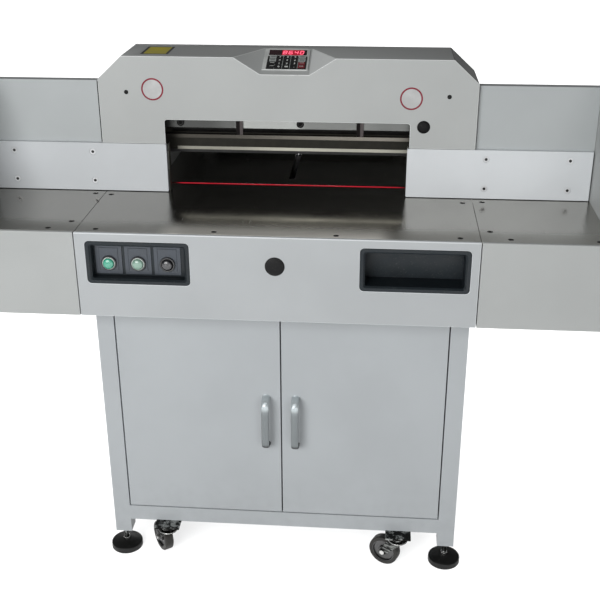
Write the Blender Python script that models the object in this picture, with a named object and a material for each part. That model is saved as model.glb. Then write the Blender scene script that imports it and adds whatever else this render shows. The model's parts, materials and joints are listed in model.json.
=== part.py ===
import math

import bmesh
import bpy
from mathutils import Matrix, Vector

# Overall sizes, in metres. X runs along the table, the operator stands at -Y, the floor is Z = 0.
BODY_WIDTH = 0.850
SIDE_LENGTH = 0.265
TABLE_HEIGHT = 0.895
BASE_DROP = 0.192

# Clearances shared by every fit
SEAT = 0.0003
PIN_PLAY = 0.0003
OVERRUN = 0.010
MERGE_DISTANCE = 0.000003

# Thin stock
SHEET = 0.002
PLATE = 0.006

# Stand: welded square tube
TUBE = 0.040
STAND_WIDTH = 0.844
STAND_SETBACK = 0.095
STAND_DEPTH = 0.600
LEG_CLEARANCE = 0.058
RAIL_CLEARANCE = 0.096

# Cabinet
DOOR_GAP = 0.003
DOOR_THICKNESS = 0.018
DOOR_SHEET = 0.0015
HINGE_INSET = 0.006
HINGE_PIN_R = 0.0025
HINGE_PIN_REACH = 0.010
LINER_INSET = 0.0006

# Door handles
HANDLE_HEIGHT = 0.135
HANDLE_CENTRE_Z = 0.4005
HANDLE_X = 0.0345
HANDLE_WIDTH = 0.018
HANDLE_THICK = 0.008
HANDLE_REACH = 0.032
HANDLE_BEND = 0.018

# Levelling feet
FOOT_R = 0.0388
FOOT_RIM = 0.016
FOOT_DOME = 0.020
FOOT_COLLAR_R = 0.013
FOOT_NUT_R = 0.0095
FOOT_NUT_HEIGHT = 0.008
STUD_R = 0.006
STUD_REACH = 0.025

# Casters
CASTER_X = 0.285
CASTER_LEAD = 0.033
CASTER_LIFT = 0.003
WHEEL_R = 0.038
WHEEL_WIDTH = 0.022
WHEEL_CROWN = 0.003
WHEEL_HUB_R = 0.013
WHEEL_WEB = 0.012
WHEEL_RIM = 0.009
AXLE_R = 0.004
CASTER_TRAIL = 0.034
CASTER_PLATE = 0.003
CASTER_PLATE_LENGTH = 0.062
RACE_R = 0.019
RACE_HEIGHT = 0.008
KINGPIN_R = 0.005
FORK_CROWN_R = 0.024
FORK_CROWN = 0.004
FORK_GAP = 0.0015
FORK_SHEET = 0.003
FORK_EYE_R = 0.009
FORK_SHOULDER = 0.019

# Base under the table
MOTOR_ROOM = 0.0599
APRON_SHEET = 0.003
APRON_LIP = 0.008

# Pockets in the front apron
POCKET_TOP = 0.019
POCKET_HEIGHT = 0.096
POCKET_RADIUS = 0.009
POCKET_FRAME = 0.011
POCKET_WALL = 0.003
POCKET_BEVEL = 0.004
CONTROL_X = -0.292
CONTROL_WIDTH = 0.222
CONTROL_DEPTH = 0.024
TRAY_X = 0.2925
TRAY_WIDTH = 0.229
TRAY_DEPTH = 0.055

# Push buttons
BUTTON_PITCH = 0.0635
BUTTON_CENTRE_X = -0.296
BUTTON_DROP = 0.076
BUTTON_R = 0.0115
BUTTON_DOME = 0.004
BUTTON_STAND = 0.009
BUTTON_STEM_R = 0.005
BEZEL_R = 0.0165
BEZEL_HEIGHT = 0.005
BUTTON_TRAVEL = 0.004
BUTTON_DOME_SHARES = ((0.0, 1.0), (0.5, 0.8), (1.0, 0.0))
MODULE_WIDTH = 0.058
MODULE_MARGIN = 0.003
MODULE_PROUD = 0.001

# Round plugs
FRONT_PLUG_R = 0.021
FRONT_PLUG_DROP = 0.065
HEAD_PLUG_R = 0.0145
HEAD_PLUG_X = 0.3075
HEAD_PLUG_RISE = 0.166
PLUG_SHANK_SHARE = 0.8
PLUG_DOME = 0.004
PLUG_RIM = 0.001
PLUG_SHANK = 0.010

# Tables
TABLE_THICK = 0.018
REAR_TABLE_WIDTH = 0.632
REAR_TABLE_DEPTH = 0.270
RIB_DEPTH = 0.072
RIB_THICK = 0.008
SIDE_TABLE_DEPTH = 0.318
END_WALL_FRONT = 0.040
END_WALL_LOW = 0.045
END_WALL_KNEE = 0.180

# Head cover
HEAD_SETBACK = 0.278
HEAD_DEPTH = 0.152
HEAD_SHOULDER = 0.263
HEAD_RISE = 0.315
HEAD_TOP_WIDTH = 0.736
HEAD_SHEET = 0.0025
MOUTH_WIDTH = 0.555
MOUTH_RISE = 0.1725
MOUTH_RADIUS = 0.006
REAR_THROAT_RISE = 0.120

# Console let into the head's front edge
CONSOLE_X = -0.003
CONSOLE_WIDTH = 0.109
CONSOLE_SPREAD = 0.228
CONSOLE_LOW = 0.278
CONSOLE_REACH = 0.114
PANEL_WIDTH = 0.093
PANEL_LENGTH = 0.096
PANEL_THICK = 0.003
PANEL_RADIUS = 0.003
PANEL_OFFSET = 0.066

# Fences and wing panels
FENCE_SETBACK = 0.281
FENCE_THICK = 0.010
FENCE_HEIGHT = 0.116
FENCE_EDGE = 0.0008
FENCE_LAP = 0.004
WING_RISE = 0.263
WING_RETURN = 0.022

# Cast side frames and crossbeam
FRAME_THICK = 0.036
FRAME_SETBACK = 0.300
FRAME_DEPTH = 0.124
FRAME_RISE = 0.262
FRAME_FOOT = 0.040
FRAME_FOOT_RISE = 0.040
FRAME_CHAMFER = 0.030
FRAME_WINDOW_R = 0.030
BEAM_LOW = 0.208
BEAM_RISE = 0.262
BEAM_SETBACK = 0.362
BEAM_POCKET = 0.014
BEAM_WALL = 0.012

# Knife
CUT_SETBACK = 0.354
KNIFE_DROP = 0.1265
KNIFE_DRIFT = 0.054
BLADE_THICK = 0.0094
BLADE_GAP = 0.0033
BLADE_HEIGHT = 0.059
BEVEL_HEIGHT = 0.016
BEVEL_EDGE = 0.0008
CARRIER_THICK = 0.034
CARRIER_LOW = 0.145
CARRIER_HIGH = 0.215
GIB_LOW = 0.010
GIB_HIGH = 0.222
GIB_LEAST = 0.0063
POST_WIDTH = 0.016
POST_PROUD = 0.006
POST_LOW = 0.131
POST_PITCH = 0.277

# Pull rod and crank
ROD_X = 0.345
ROD_TOP = 0.175
ROD_LOW = -0.045
ROD_THICK = 0.012
ROD_EYE_R = 0.013
ROD_WIDTH = 0.018
ROD_PIN_R = 0.008
ROD_BOSS = 0.012
CRANK_THICK = 0.012
CRANK_HUB_R = 0.026
CRANK_EYE_R = 0.012
CRANK_WIDTH = 0.0228
CRANK_BOSS = 0.0015
CRANK_SHAFT_R = 0.012
CRANK_SHAFT = 0.028
CRANK_AIR = 0.014

# Gearbox and motor
GEARBOX_WIDTH = 0.116
GEARBOX_DEPTH = 0.094
GEARBOX_RISE = -0.030
GEARBOX_CHAMFER = 0.020
MOTOR_R = 0.054
MOTOR_LENGTH = 0.210
MOTOR_FLANGE_R = 0.060
MOTOR_FLANGE = 0.010
MOTOR_COWL = 0.045
MOTOR_COWL_R = 0.058

# Clamp
CLAMP_TRAVEL = 0.076
PRESS_GAP = 0.001
CLAMP_GAP = 0.0012
CLAMP_DEPTH = 0.035
CLAMP_FOOT = 0.0425
CLAMP_LIP = 0.015
CLAMP_HIGH = 0.200
CLAMP_STRIP = 0.010
CLAMP_STEP = 0.001
CLAMP_TONGUE = 0.010
CLAMP_END = 0.710
CLAMP_LUG_WIDTH = 0.050
CLAMP_LUG_HEIGHT = 0.020
SPINDLE_SETBACK = 0.404
SPINDLE_R = 0.010
SPINDLE_LOW = 0.100
SPINDLE_PULLEY_R = 0.020
SPINDLE_PULLEY = 0.012

# Back gauge
GAUGE_REST = 0.470
GAUGE_NEAR = 0.038
GAUGE_WIDTH = 0.510
GAUGE_HEIGHT = 0.080
GAUGE_PLATE = 0.012
GAUGE_FOOT = 0.060
GAUGE_FOOT_THICK = 0.012
GAUGE_LIFT = 0.0005
GAUGE_RIBS = 5
GAUGE_RIB = 0.008
GAUGE_TONGUE = 0.012
GAUGE_NUT = 0.036
GAUGE_NUT_LENGTH = 0.030
SLOT_PLAY = 0.001
SCREW_DROP = 0.046
SCREW_R = 0.008
BEARING_WIDTH = 0.044
BEARING_LENGTH = 0.016
BEARING_WALL = 0.014
GAUGE_MOTOR_SIZE = 0.058
GAUGE_MOTOR_LENGTH = 0.066

# Cutting stick
STICK_SIZE = 0.010
STICK_LENGTH = 0.568

# Rear guard
GUARD_RISE = 0.200
GUARD_TAIL = 0.120
GUARD_SLOPE = 0.090

# Mains inlet
INLET_X = -0.300
INLET_DROP = 0.120
INLET_WIDTH = 0.060
INLET_HEIGHT = 0.045
INLET_DEPTH = 0.020
INLET_RECESS = 0.012
INLET_RIM = 0.006

# Facets of round shapes
FINE_STEPS = 32
ROUND_STEPS = 24
SMALL_STEPS = 16
CORNER_STEPS = 4
SMOOTH_ANGLE = math.radians(35)

# Places worked out from the sizes above
BODY_HALF = BODY_WIDTH / 2
SIDE_END = BODY_HALF + SIDE_LENGTH
BASE_BOTTOM = TABLE_HEIGHT - BASE_DROP
STAND_TOP = BASE_BOTTOM - SEAT
STAND_HALF = STAND_WIDTH / 2
DOORWAY_HALF = STAND_HALF - TUBE
DOORWAY_LOW = RAIL_CLEARANCE + TUBE
DOORWAY_HIGH = STAND_TOP - TUBE
TABLE_UNDER = TABLE_HEIGHT - TABLE_THICK
PAN_TOP = BASE_BOTTOM + PLATE
KNIFE_SLOPE = KNIFE_DRIFT / KNIFE_DROP
KNIFE_OFFSET = KNIFE_DRIFT / 2
CLAMP_SETBACK = CUT_SETBACK + CLAMP_GAP
CLAMP_LOW = CLAMP_TRAVEL + PRESS_GAP
FRAME_INNER = BODY_HALF - HEAD_SHEET - 2 * SHEET - FRAME_THICK
CARRIER_SETBACK = CUT_SETBACK - CARRIER_THICK
ROD_SETBACK = CARRIER_SETBACK - SEAT - ROD_BOSS - ROD_THICK
CRANK_X = ROD_X - KNIFE_DRIFT / 2
CRANK_RISE = ROD_LOW - KNIFE_DROP / 2
CRANK_SETBACK = ROD_SETBACK + ROD_THICK + 2 * SEAT
GEARBOX_SETBACK = CRANK_SETBACK + CRANK_BOSS + CRANK_THICK + CRANK_AIR
MOTOR_SETBACK = GEARBOX_SETBACK + GEARBOX_DEPTH + SEAT
BASE_DEPTH = MOTOR_SETBACK + MOTOR_LENGTH + MOTOR_ROOM
DEPTH = BASE_DEPTH + REAR_TABLE_DEPTH
FRONT_Y = PLUG_DOME / 2 - DEPTH / 2
CARRIER_MIDDLE = (CARRIER_LOW + CARRIER_HIGH) / 2
GIB_LEAN_HIGH = KNIFE_OFFSET + KNIFE_SLOPE * (GIB_HIGH - CARRIER_MIDDLE)
GIB_LEAN_LOW = KNIFE_SLOPE * (CARRIER_MIDDLE - GIB_LOW) - KNIFE_OFFSET
CARRIER_LENGTH = 2 * (FRAME_INNER - 2 * SEAT - GIB_LEAST - max(GIB_LEAN_HIGH, GIB_LEAN_LOW))
BLADE_LOW = KNIFE_DROP + SEAT
BLADE_LENGTH = CARRIER_LENGTH - 2 * (KNIFE_SLOPE * (CARRIER_MIDDLE - BLADE_LOW) + BLADE_GAP)
GAUGE_FACE = CUT_SETBACK + GAUGE_REST
GAUGE_TRAVEL = GAUGE_REST - GAUGE_NEAR
SLOT_HALF = GAUGE_TONGUE / 2 + SLOT_PLAY
NUT_SETBACK = GAUGE_FACE + GAUGE_PLATE
SLOT_FRONT = NUT_SETBACK - GAUGE_TRAVEL - SLOT_PLAY
SLOT_REAR = NUT_SETBACK + GAUGE_NUT_LENGTH + SLOT_PLAY
BEARING_FRONT = SLOT_FRONT - SLOT_PLAY - BEARING_LENGTH
BEARING_REAR = SLOT_REAR + SLOT_PLAY
BEARING_DROP = SCREW_DROP + SCREW_R + BEARING_WALL


def back(setback):
    """Y of a place that lies this far behind the table's front edge."""
    return FRONT_Y + setback


def up(rise):
    """Z of a place that lies this far above the table top."""
    return TABLE_HEIGHT + rise


def clear_scene():
    for old in list(bpy.data.objects):
        bpy.data.objects.remove(old, do_unlink=True)


def material(name, colour, roughness, metallic=0.0):
    """Principled material, made once for each name."""
    found = bpy.data.materials.get(name)
    if found:
        return found
    made = bpy.data.materials.new(name)
    made.use_nodes = True
    shader = made.node_tree.nodes["Principled BSDF"]
    shader.inputs["Base Color"].default_value = (*colour, 1.0)
    shader.inputs["Roughness"].default_value = roughness
    shader.inputs["Metallic"].default_value = metallic
    return made


def light_paint(name):
    return material(name, (0.60, 0.63, 0.63), 0.45)


def dark_paint(name):
    return material(name, (0.12, 0.13, 0.13), 0.5)


def ground_steel(name):
    return material(name, (0.45, 0.44, 0.42), 0.28, 1.0)


def cast_iron(name):
    return material(name, (0.20, 0.20, 0.20), 0.6, 0.4)


def dark_steel(name):
    return material(name, (0.10, 0.10, 0.10), 0.35, 0.8)


def black_plastic(name):
    return material(name, (0.02, 0.02, 0.022), 0.4)


def slate_plastic(name):
    return material(name, (0.055, 0.065, 0.075), 0.5)


def put(name, bm, finish=None):
    """Turn a bmesh into a named object with its own material and outward faces."""
    bmesh.ops.recalc_face_normals(bm, faces=bm.faces)
    mesh = bpy.data.meshes.new(name)
    bm.to_mesh(mesh)
    bm.free()
    made = bpy.data.objects.new(name, mesh)
    bpy.context.collection.objects.link(made)
    if finish:
        mesh.materials.append(finish(name + "_finish"))
    return made


def block(name, low, high, finish=None):
    """Box between two corners."""
    bm = bmesh.new()
    centre = [(a + b) / 2 for a, b in zip(low, high)]
    bmesh.ops.create_cube(bm, size=1.0)
    bmesh.ops.scale(bm, vec=[b - a for a, b in zip(low, high)], verts=bm.verts)
    made = put(name, bm, finish)
    made.location = centre
    return made


def prism(name, outline, axis, start, end, finish=None, end_outline=None):
    """Flat outline pushed along one axis; its points hold the other two coordinates in order."""
    along = "XYZ".index(axis)
    first, second = [place for place in range(3) if place != along]
    bm = bmesh.new()
    rings = []
    for points, level in ((outline, start), (end_outline or outline, end)):
        ring = []
        for point in points:
            place = [0.0, 0.0, 0.0]
            place[first], place[second], place[along] = point[0], point[1], level
            ring.append(bm.verts.new(place))
        rings.append(ring)
        bm.faces.new(ring)
    bmesh.ops.bridge_loops(bm, edges=list(bm.edges))
    return put(name, bm, finish)


def turned(name, outline, centre, axis="Z", steps=ROUND_STEPS, finish=None, ring=False):
    """Revolve (radius, height) points about an axis through a centre."""
    bm = bmesh.new()
    corners = [bm.verts.new((radius, 0.0, height)) for radius, height in outline]
    pairs = list(zip(corners, corners[1:]))
    if ring:
        pairs.append((corners[-1], corners[0]))
    edges = [bm.edges.new(pair) for pair in pairs]
    bmesh.ops.spin(bm, geom=corners + edges, angle=2 * math.pi, steps=steps, axis=(0, 0, 1), use_merge=True)
    bmesh.ops.remove_doubles(bm, verts=bm.verts, dist=MERGE_DISTANCE)
    made = put(name, bm, finish)
    turn = {"X": Matrix.Rotation(math.pi / 2, 4, "Y"), "Y": Matrix.Rotation(-math.pi / 2, 4, "X")}
    if axis in turn:
        made.data.transform(turn[axis])
    made.location = centre
    smooth(made)
    return made


def rod_shape(name, radius, length, centre, axis="Z", steps=ROUND_STEPS, finish=None):
    """Plain round bar that starts at a centre and runs along the axis."""
    outline = [(0.0, 0.0), (radius, 0.0), (radius, length), (0.0, length)]
    return turned(name, outline, centre, axis, steps, finish)


def smooth(made):
    made.data.shade_smooth()
    made.data.set_sharp_from_angle(angle=SMOOTH_ANGLE)


def combine(target, tool, operation):
    """Boolean with a tool that stays out of the build."""
    step = target.modifiers.new(tool.name, "BOOLEAN")
    step.operation = operation
    step.object = tool
    tool.hide_render = True
    tool.display_type = "WIRE"


def cut(target, *tools):
    for tool in tools:
        combine(target, tool, "DIFFERENCE")


def fuse(target, *tools):
    for tool in tools:
        combine(target, tool, "UNION")


def chamfer(target, width, segments=1):
    step = target.modifiers.new("edge", "BEVEL")
    step.width = width
    step.segments = segments
    step.limit_method = "ANGLE"
    step.angle_limit = SMOOTH_ANGLE


def pivot(target, place):
    """Move an object's origin to a joint's axis and leave its shape where it is."""
    shift = target.location - Vector(place)
    target.data.transform(Matrix.Translation(shift))
    target.location = place


def rounded(width, height, radius, centre=(0.0, 0.0)):
    """Rectangle with round corners as a list of points."""
    points = []
    corners = ((1, 1, 0), (-1, 1, 1), (-1, -1, 2), (1, -1, 3))
    for side, level, quarter in corners:
        middle_x = centre[0] + side * (width / 2 - radius)
        middle_y = centre[1] + level * (height / 2 - radius)
        for step in range(CORNER_STEPS + 1):
            angle = (quarter + step / CORNER_STEPS) * math.pi / 2
            points.append((middle_x + radius * math.cos(angle), middle_y + radius * math.sin(angle)))
    return points


def side_name(side):
    return "left" if side < 0 else "right"


def stand():
    """Welded frame of square tube with the caster plates and the holes for studs and pivots."""
    front = back(STAND_SETBACK)
    rear = front + STAND_DEPTH
    frame = block(
        "stand_frame",
        (-STAND_HALF, front, RAIL_CLEARANCE),
        (STAND_HALF, rear, STAND_TOP),
        light_paint,
    )
    clear_x = block(
        "stand_clear_x",
        (-STAND_HALF - OVERRUN, front + TUBE, DOORWAY_LOW),
        (STAND_HALF + OVERRUN, rear - TUBE, DOORWAY_HIGH),
    )
    clear_y = block(
        "stand_clear_y",
        (-DOORWAY_HALF, front - OVERRUN, DOORWAY_LOW),
        (DOORWAY_HALF, rear + OVERRUN, DOORWAY_HIGH),
    )
    clear_z = block(
        "stand_clear_z",
        (-DOORWAY_HALF, front + TUBE, RAIL_CLEARANCE - OVERRUN),
        (DOORWAY_HALF, rear - TUBE, STAND_TOP + OVERRUN),
    )
    cut(frame, clear_x, clear_y, clear_z)
    for side in (-1, 1):
        for row, y in enumerate((front, rear - TUBE)):
            x_out = side * STAND_HALF
            x_in = side * DOORWAY_HALF
            leg = block(
                f"stand_leg_{side_name(side)}_{row}",
                (min(x_out, x_in), y, LEG_CLEARANCE),
                (max(x_out, x_in), y + TUBE, DOORWAY_LOW),
            )
            centre_y = y + TUBE / 2
            lead = CASTER_LEAD if y == front else 0.0
            plate_low = side * CASTER_X - CASTER_PLATE_LENGTH / 2
            plate_high = side * CASTER_X + CASTER_PLATE_LENGTH / 2
            plate = block(
                f"stand_plate_{side_name(side)}_{row}",
                (plate_low, y - lead, RAIL_CLEARANCE - CASTER_PLATE),
                (plate_high, y + TUBE, RAIL_CLEARANCE + CASTER_PLATE / 2),
            )
            race = rod_shape(
                f"stand_race_{side_name(side)}_{row}",
                RACE_R,
                RACE_HEIGHT + CASTER_PLATE / 2,
                (side * CASTER_X, centre_y - lead, RAIL_CLEARANCE - CASTER_PLATE - RACE_HEIGHT),
            )
            fuse(frame, leg, plate, race)
            stud_hole = rod_shape(
                f"stand_stud_{side_name(side)}_{row}",
                STUD_R + PIN_PLAY,
                STUD_REACH + SEAT + OVERRUN,
                (side * (STAND_HALF - TUBE / 2), centre_y, LEG_CLEARANCE - OVERRUN),
                steps=SMALL_STEPS,
            )
            king_hole = rod_shape(
                f"stand_king_{side_name(side)}_{row}",
                KINGPIN_R + PIN_PLAY,
                RACE_HEIGHT + CASTER_PLATE + OVERRUN + SEAT,
                (side * CASTER_X, centre_y - lead, RAIL_CLEARANCE - CASTER_PLATE - RACE_HEIGHT - OVERRUN),
                steps=SMALL_STEPS,
            )
            cut(frame, stud_hole, king_hole)
        for level, z in enumerate((DOORWAY_LOW, DOORWAY_HIGH)):
            pivot_hole = rod_shape(
                f"stand_pivot_{side_name(side)}_{level}",
                HINGE_PIN_R + PIN_PLAY,
                2 * HINGE_PIN_REACH,
                (side * hinge_x(), hinge_y(), z - HINGE_PIN_REACH),
                steps=SMALL_STEPS,
            )
            cut(frame, pivot_hole)


def hinge_x():
    return DOORWAY_HALF - DOOR_GAP - HINGE_INSET


def hinge_y():
    return back(STAND_SETBACK) + HINGE_INSET


def doors():
    """Folded pans with stub pivots that turn in the stand's rails."""
    low = DOORWAY_LOW + DOOR_GAP
    high = DOORWAY_HIGH - DOOR_GAP
    front = back(STAND_SETBACK)
    for side in (-1, 1):
        inner = side * DOOR_GAP / 2
        outer = side * (DOORWAY_HALF - DOOR_GAP)
        x_low, x_high = min(inner, outer), max(inner, outer)
        name = side_name(side) + "_door"
        door = block(name, (x_low, front, low), (x_high, front + DOOR_THICKNESS, high), light_paint)
        hollow = block(
            name + "_hollow",
            (x_low + DOOR_SHEET, front + DOOR_SHEET, low + DOOR_SHEET),
            (x_high - DOOR_SHEET, front + DOOR_THICKNESS + OVERRUN, high - DOOR_SHEET),
        )
        cut(door, hollow)
        for level, z in enumerate((low - DOOR_GAP - HINGE_PIN_REACH + SEAT, high - 2 * DOOR_SHEET)):
            stub = rod_shape(
                f"{name}_stub_{level}",
                HINGE_PIN_R,
                HINGE_PIN_REACH + DOOR_GAP + 2 * DOOR_SHEET - SEAT,
                (side * hinge_x(), hinge_y(), z),
                steps=SMALL_STEPS,
            )
            fuse(door, stub)
        pivot(door, (side * hinge_x(), hinge_y(), (low + high) / 2))
        bow_handle(side)


def bow_handle(side):
    """Flat oval bar swept round two bends, standing off the door's face."""
    face = back(STAND_SETBACK) - SEAT
    low = HANDLE_CENTRE_Z - HANDLE_HEIGHT / 2
    high = HANDLE_CENTRE_Z + HANDLE_HEIGHT / 2
    route = [(face, low, 0.0)]
    for middle, start in ((low + HANDLE_BEND, 0), (high - HANDLE_BEND, 1)):
        for step in range(CORNER_STEPS + 1):
            turn = (start + step / CORNER_STEPS) * math.pi / 2
            y = face - HANDLE_REACH + HANDLE_BEND - HANDLE_BEND * math.sin(turn)
            z = middle - HANDLE_BEND * math.cos(turn)
            route.append((y, z, turn))
    route.append((face, high, math.pi))
    bm = bmesh.new()
    rings = []
    for y, z, turn in route:
        ring = []
        for step in range(SMALL_STEPS):
            angle = 2 * math.pi * step / SMALL_STEPS
            across = HANDLE_WIDTH / 2 * math.cos(angle)
            depth = HANDLE_THICK / 2 * math.sin(angle)
            ring.append(bm.verts.new((across, y + depth * math.sin(turn), z + depth * math.cos(turn))))
        rings.append(ring)
    for one, two in zip(rings, rings[1:]):
        for step in range(SMALL_STEPS):
            after = (step + 1) % SMALL_STEPS
            bm.faces.new((one[step], one[after], two[after], two[step]))
    bm.faces.new(rings[0])
    bm.faces.new(rings[-1])
    handle = put(side_name(side) + "_handle", bm, lambda name: material(name, (0.62, 0.63, 0.64), 0.3, 0.9))
    handle.location.x = side * HANDLE_X
    smooth(handle)


def feet():
    """Levelling feet: rubber pad, lock nut and stud."""
    outline = [
        (0.0, 0.0),
        (FOOT_R, 0.0),
        (FOOT_R, FOOT_RIM),
        (FOOT_COLLAR_R, FOOT_DOME),
        (FOOT_NUT_R, FOOT_DOME),
        (FOOT_NUT_R, FOOT_DOME + FOOT_NUT_HEIGHT),
        (STUD_R, FOOT_DOME + FOOT_NUT_HEIGHT),
        (STUD_R, LEG_CLEARANCE + STUD_REACH),
        (0.0, LEG_CLEARANCE + STUD_REACH),
    ]
    front = back(STAND_SETBACK) + TUBE / 2
    for side in (-1, 1):
        for row, y in (("front", front), ("rear", front + STAND_DEPTH - TUBE)):
            place = (side * (STAND_HALF - TUBE / 2), y, 0.0)
            turned(f"{side_name(side)}_{row}_foot", outline, place, finish=black_plastic)


# Direction each caster trails at rest, as a share of a turn about its kingpin from +Y
CASTER_TURN_SHARES = {(-1, "front"): 0.1, (1, "front"): 0.18, (-1, "rear"): 0.1, (1, "rear"): -0.07}


def casters():
    """Swivel casters: fork with kingpin and axle, and the wheel that runs on it."""
    front = back(STAND_SETBACK) + TUBE / 2
    for (side, row), turn in CASTER_TURN_SHARES.items():
        y = front - CASTER_LEAD if row == "front" else front + STAND_DEPTH - TUBE
        place = Vector((side * CASTER_X, y, 0.0))
        angle = turn * 2 * math.pi
        name = f"{side_name(side)}_{row}"
        fork = caster_fork(name + "_caster_fork", place, angle)
        fork.rotation_euler.z = angle
        wheel = caster_wheel(name + "_caster_wheel")
        trail = Vector((0.0, CASTER_TRAIL, CASTER_LIFT + WHEEL_R))
        wheel.location = place + Matrix.Rotation(angle, 3, "Z") @ trail
        wheel.rotation_euler.z = angle


def caster_fork(name, place, angle):
    crown_top = RAIL_CLEARANCE - CASTER_PLATE - RACE_HEIGHT - SEAT
    crown_low = crown_top - FORK_CROWN
    axle_z = CASTER_LIFT + WHEEL_R
    inner = WHEEL_WIDTH / 2 + FORK_GAP
    outer = inner + FORK_SHEET
    crown = [
        (0.0, crown_low),
        (FORK_CROWN_R, crown_low),
        (FORK_CROWN_R, crown_top),
        (KINGPIN_R, crown_top),
        (KINGPIN_R, crown_top + RACE_HEIGHT + CASTER_PLATE),
        (0.0, crown_top + RACE_HEIGHT + CASTER_PLATE),
    ]
    fork = turned(name, crown, (0.0, 0.0, 0.0), finish=dark_steel)
    cheek = [(-FORK_SHOULDER, crown_low + FORK_CROWN / 2), (FORK_SHOULDER, crown_low + FORK_CROWN / 2)]
    for step in range(SMALL_STEPS // 2 + 1):
        around = math.radians(60) - step / (SMALL_STEPS // 2) * math.radians(210)
        y = CASTER_TRAIL + FORK_EYE_R * math.cos(around)
        cheek.append((y, axle_z + FORK_EYE_R * math.sin(around)))
    for number, (start, end) in enumerate(((-outer, -inner), (inner, outer))):
        leg = prism(f"{name}_cheek_{number}", cheek, "X", start, end)
        leg.location = place
        leg.rotation_euler.z = angle
        fuse(fork, leg)
    axle = rod_shape(name + "_axle", AXLE_R, 2 * inner + FORK_SHEET, (0.0, 0.0, 0.0), "X", SMALL_STEPS)
    axle.data.transform(Matrix.Translation((-inner - FORK_SHEET / 2, CASTER_TRAIL, axle_z)))
    axle.location = place
    axle.rotation_euler.z = angle
    fuse(fork, axle)
    fork.location = place
    return fork


def caster_wheel(name):
    half = WHEEL_WIDTH / 2
    bore = AXLE_R + PIN_PLAY
    web = WHEEL_WEB / 2
    rim = WHEEL_R - WHEEL_RIM
    outline = [
        (bore, -half),
        (WHEEL_HUB_R, -half),
        (WHEEL_HUB_R, -web),
        (rim, -web),
        (rim, -half),
        (WHEEL_R - WHEEL_CROWN, -half),
        (WHEEL_R, -half + WHEEL_CROWN),
        (WHEEL_R, half - WHEEL_CROWN),
        (WHEEL_R - WHEEL_CROWN, half),
        (rim, half),
        (rim, web),
        (WHEEL_HUB_R, web),
        (WHEEL_HUB_R, half),
        (bore, half),
    ]
    return turned(name, outline, (0.0, 0.0, 0.0), "X", ROUND_STEPS, black_plastic, ring=True)


def cabinet():
    """Folded liner inside the tubes and the floor plate that carries it."""
    front = back(STAND_SETBACK)
    rear = front + STAND_DEPTH - TUBE - LINER_INSET
    half = DOORWAY_HALF - LINER_INSET
    floor_top = DOORWAY_LOW + SEAT + PLATE / 2
    inner_front = front + TUBE + SEAT
    block(
        "cabinet_floor",
        (-half, front + TUBE - HINGE_INSET, DOORWAY_LOW + SEAT),
        (half, front + STAND_DEPTH - TUBE / 2, floor_top),
        light_paint,
    )
    outline = [
        (-half, inner_front),
        (-half, rear),
        (half, rear),
        (half, inner_front),
        (half - SHEET, inner_front),
        (half - SHEET, rear - SHEET),
        (-half + SHEET, rear - SHEET),
        (-half + SHEET, inner_front),
    ]
    prism("cabinet_liner", outline, "Z", floor_top + SEAT, STAND_TOP - SEAT, light_paint)


def base():
    """Base plate on the stand and the folded shell round the drive."""
    block(
        "base_plate",
        (-BODY_HALF, back(APRON_SHEET + SEAT), BASE_BOTTOM),
        (BODY_HALF, back(BASE_DEPTH), PAN_TOP),
        dark_paint,
    )
    half = BODY_HALF
    front = back(APRON_SHEET + SEAT)
    rear = back(BASE_DEPTH)
    outline = [
        (-half, front),
        (-half, rear),
        (half, rear),
        (half, front),
        (half - SHEET, front),
        (half - SHEET, rear - SHEET),
        (-half + SHEET, rear - SHEET),
        (-half + SHEET, front),
    ]
    shell = prism("base_shell", outline, "Z", PAN_TOP + SEAT, TABLE_UNDER - SEAT, light_paint)
    nut_half = GAUGE_NUT / 2 + SHEET
    nut_way = block(
        "base_shell_nut_way",
        (-nut_half, rear - SHEET - OVERRUN, up(-BEARING_DROP - SHEET)),
        (nut_half, rear + OVERRUN, TABLE_UNDER + OVERRUN),
    )
    cut(shell, nut_way)
    low_z = up(-INLET_DROP - INLET_HEIGHT / 2)
    inlet = block(
        "mains_inlet",
        (INLET_X - INLET_WIDTH / 2, rear + SEAT, low_z),
        (INLET_X + INLET_WIDTH / 2, rear + SEAT + INLET_DEPTH, low_z + INLET_HEIGHT),
        black_plastic,
    )
    recess_half = INLET_WIDTH / 2 - INLET_RIM
    recess = block(
        "mains_inlet_recess",
        (INLET_X - recess_half, rear + INLET_DEPTH - INLET_RECESS, low_z + INLET_RIM),
        (INLET_X + recess_half, rear + INLET_DEPTH + OVERRUN, low_z + INLET_HEIGHT - INLET_RIM),
    )
    cut(inlet, recess)


def apron_outline(top):
    """Front sheet with its folded lip, as Y and Z points."""
    low = BASE_BOTTOM
    return [
        (back(0.0), low),
        (back(APRON_SHEET), low),
        (back(APRON_SHEET), top - APRON_SHEET),
        (back(APRON_LIP), top - APRON_SHEET),
        (back(APRON_LIP), top),
        (back(APRON_SHEET / 2), top),
        (back(0.0), top - APRON_SHEET / 2),
    ]


def pocket_middle():
    return up(-POCKET_TOP - POCKET_HEIGHT / 2)


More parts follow.
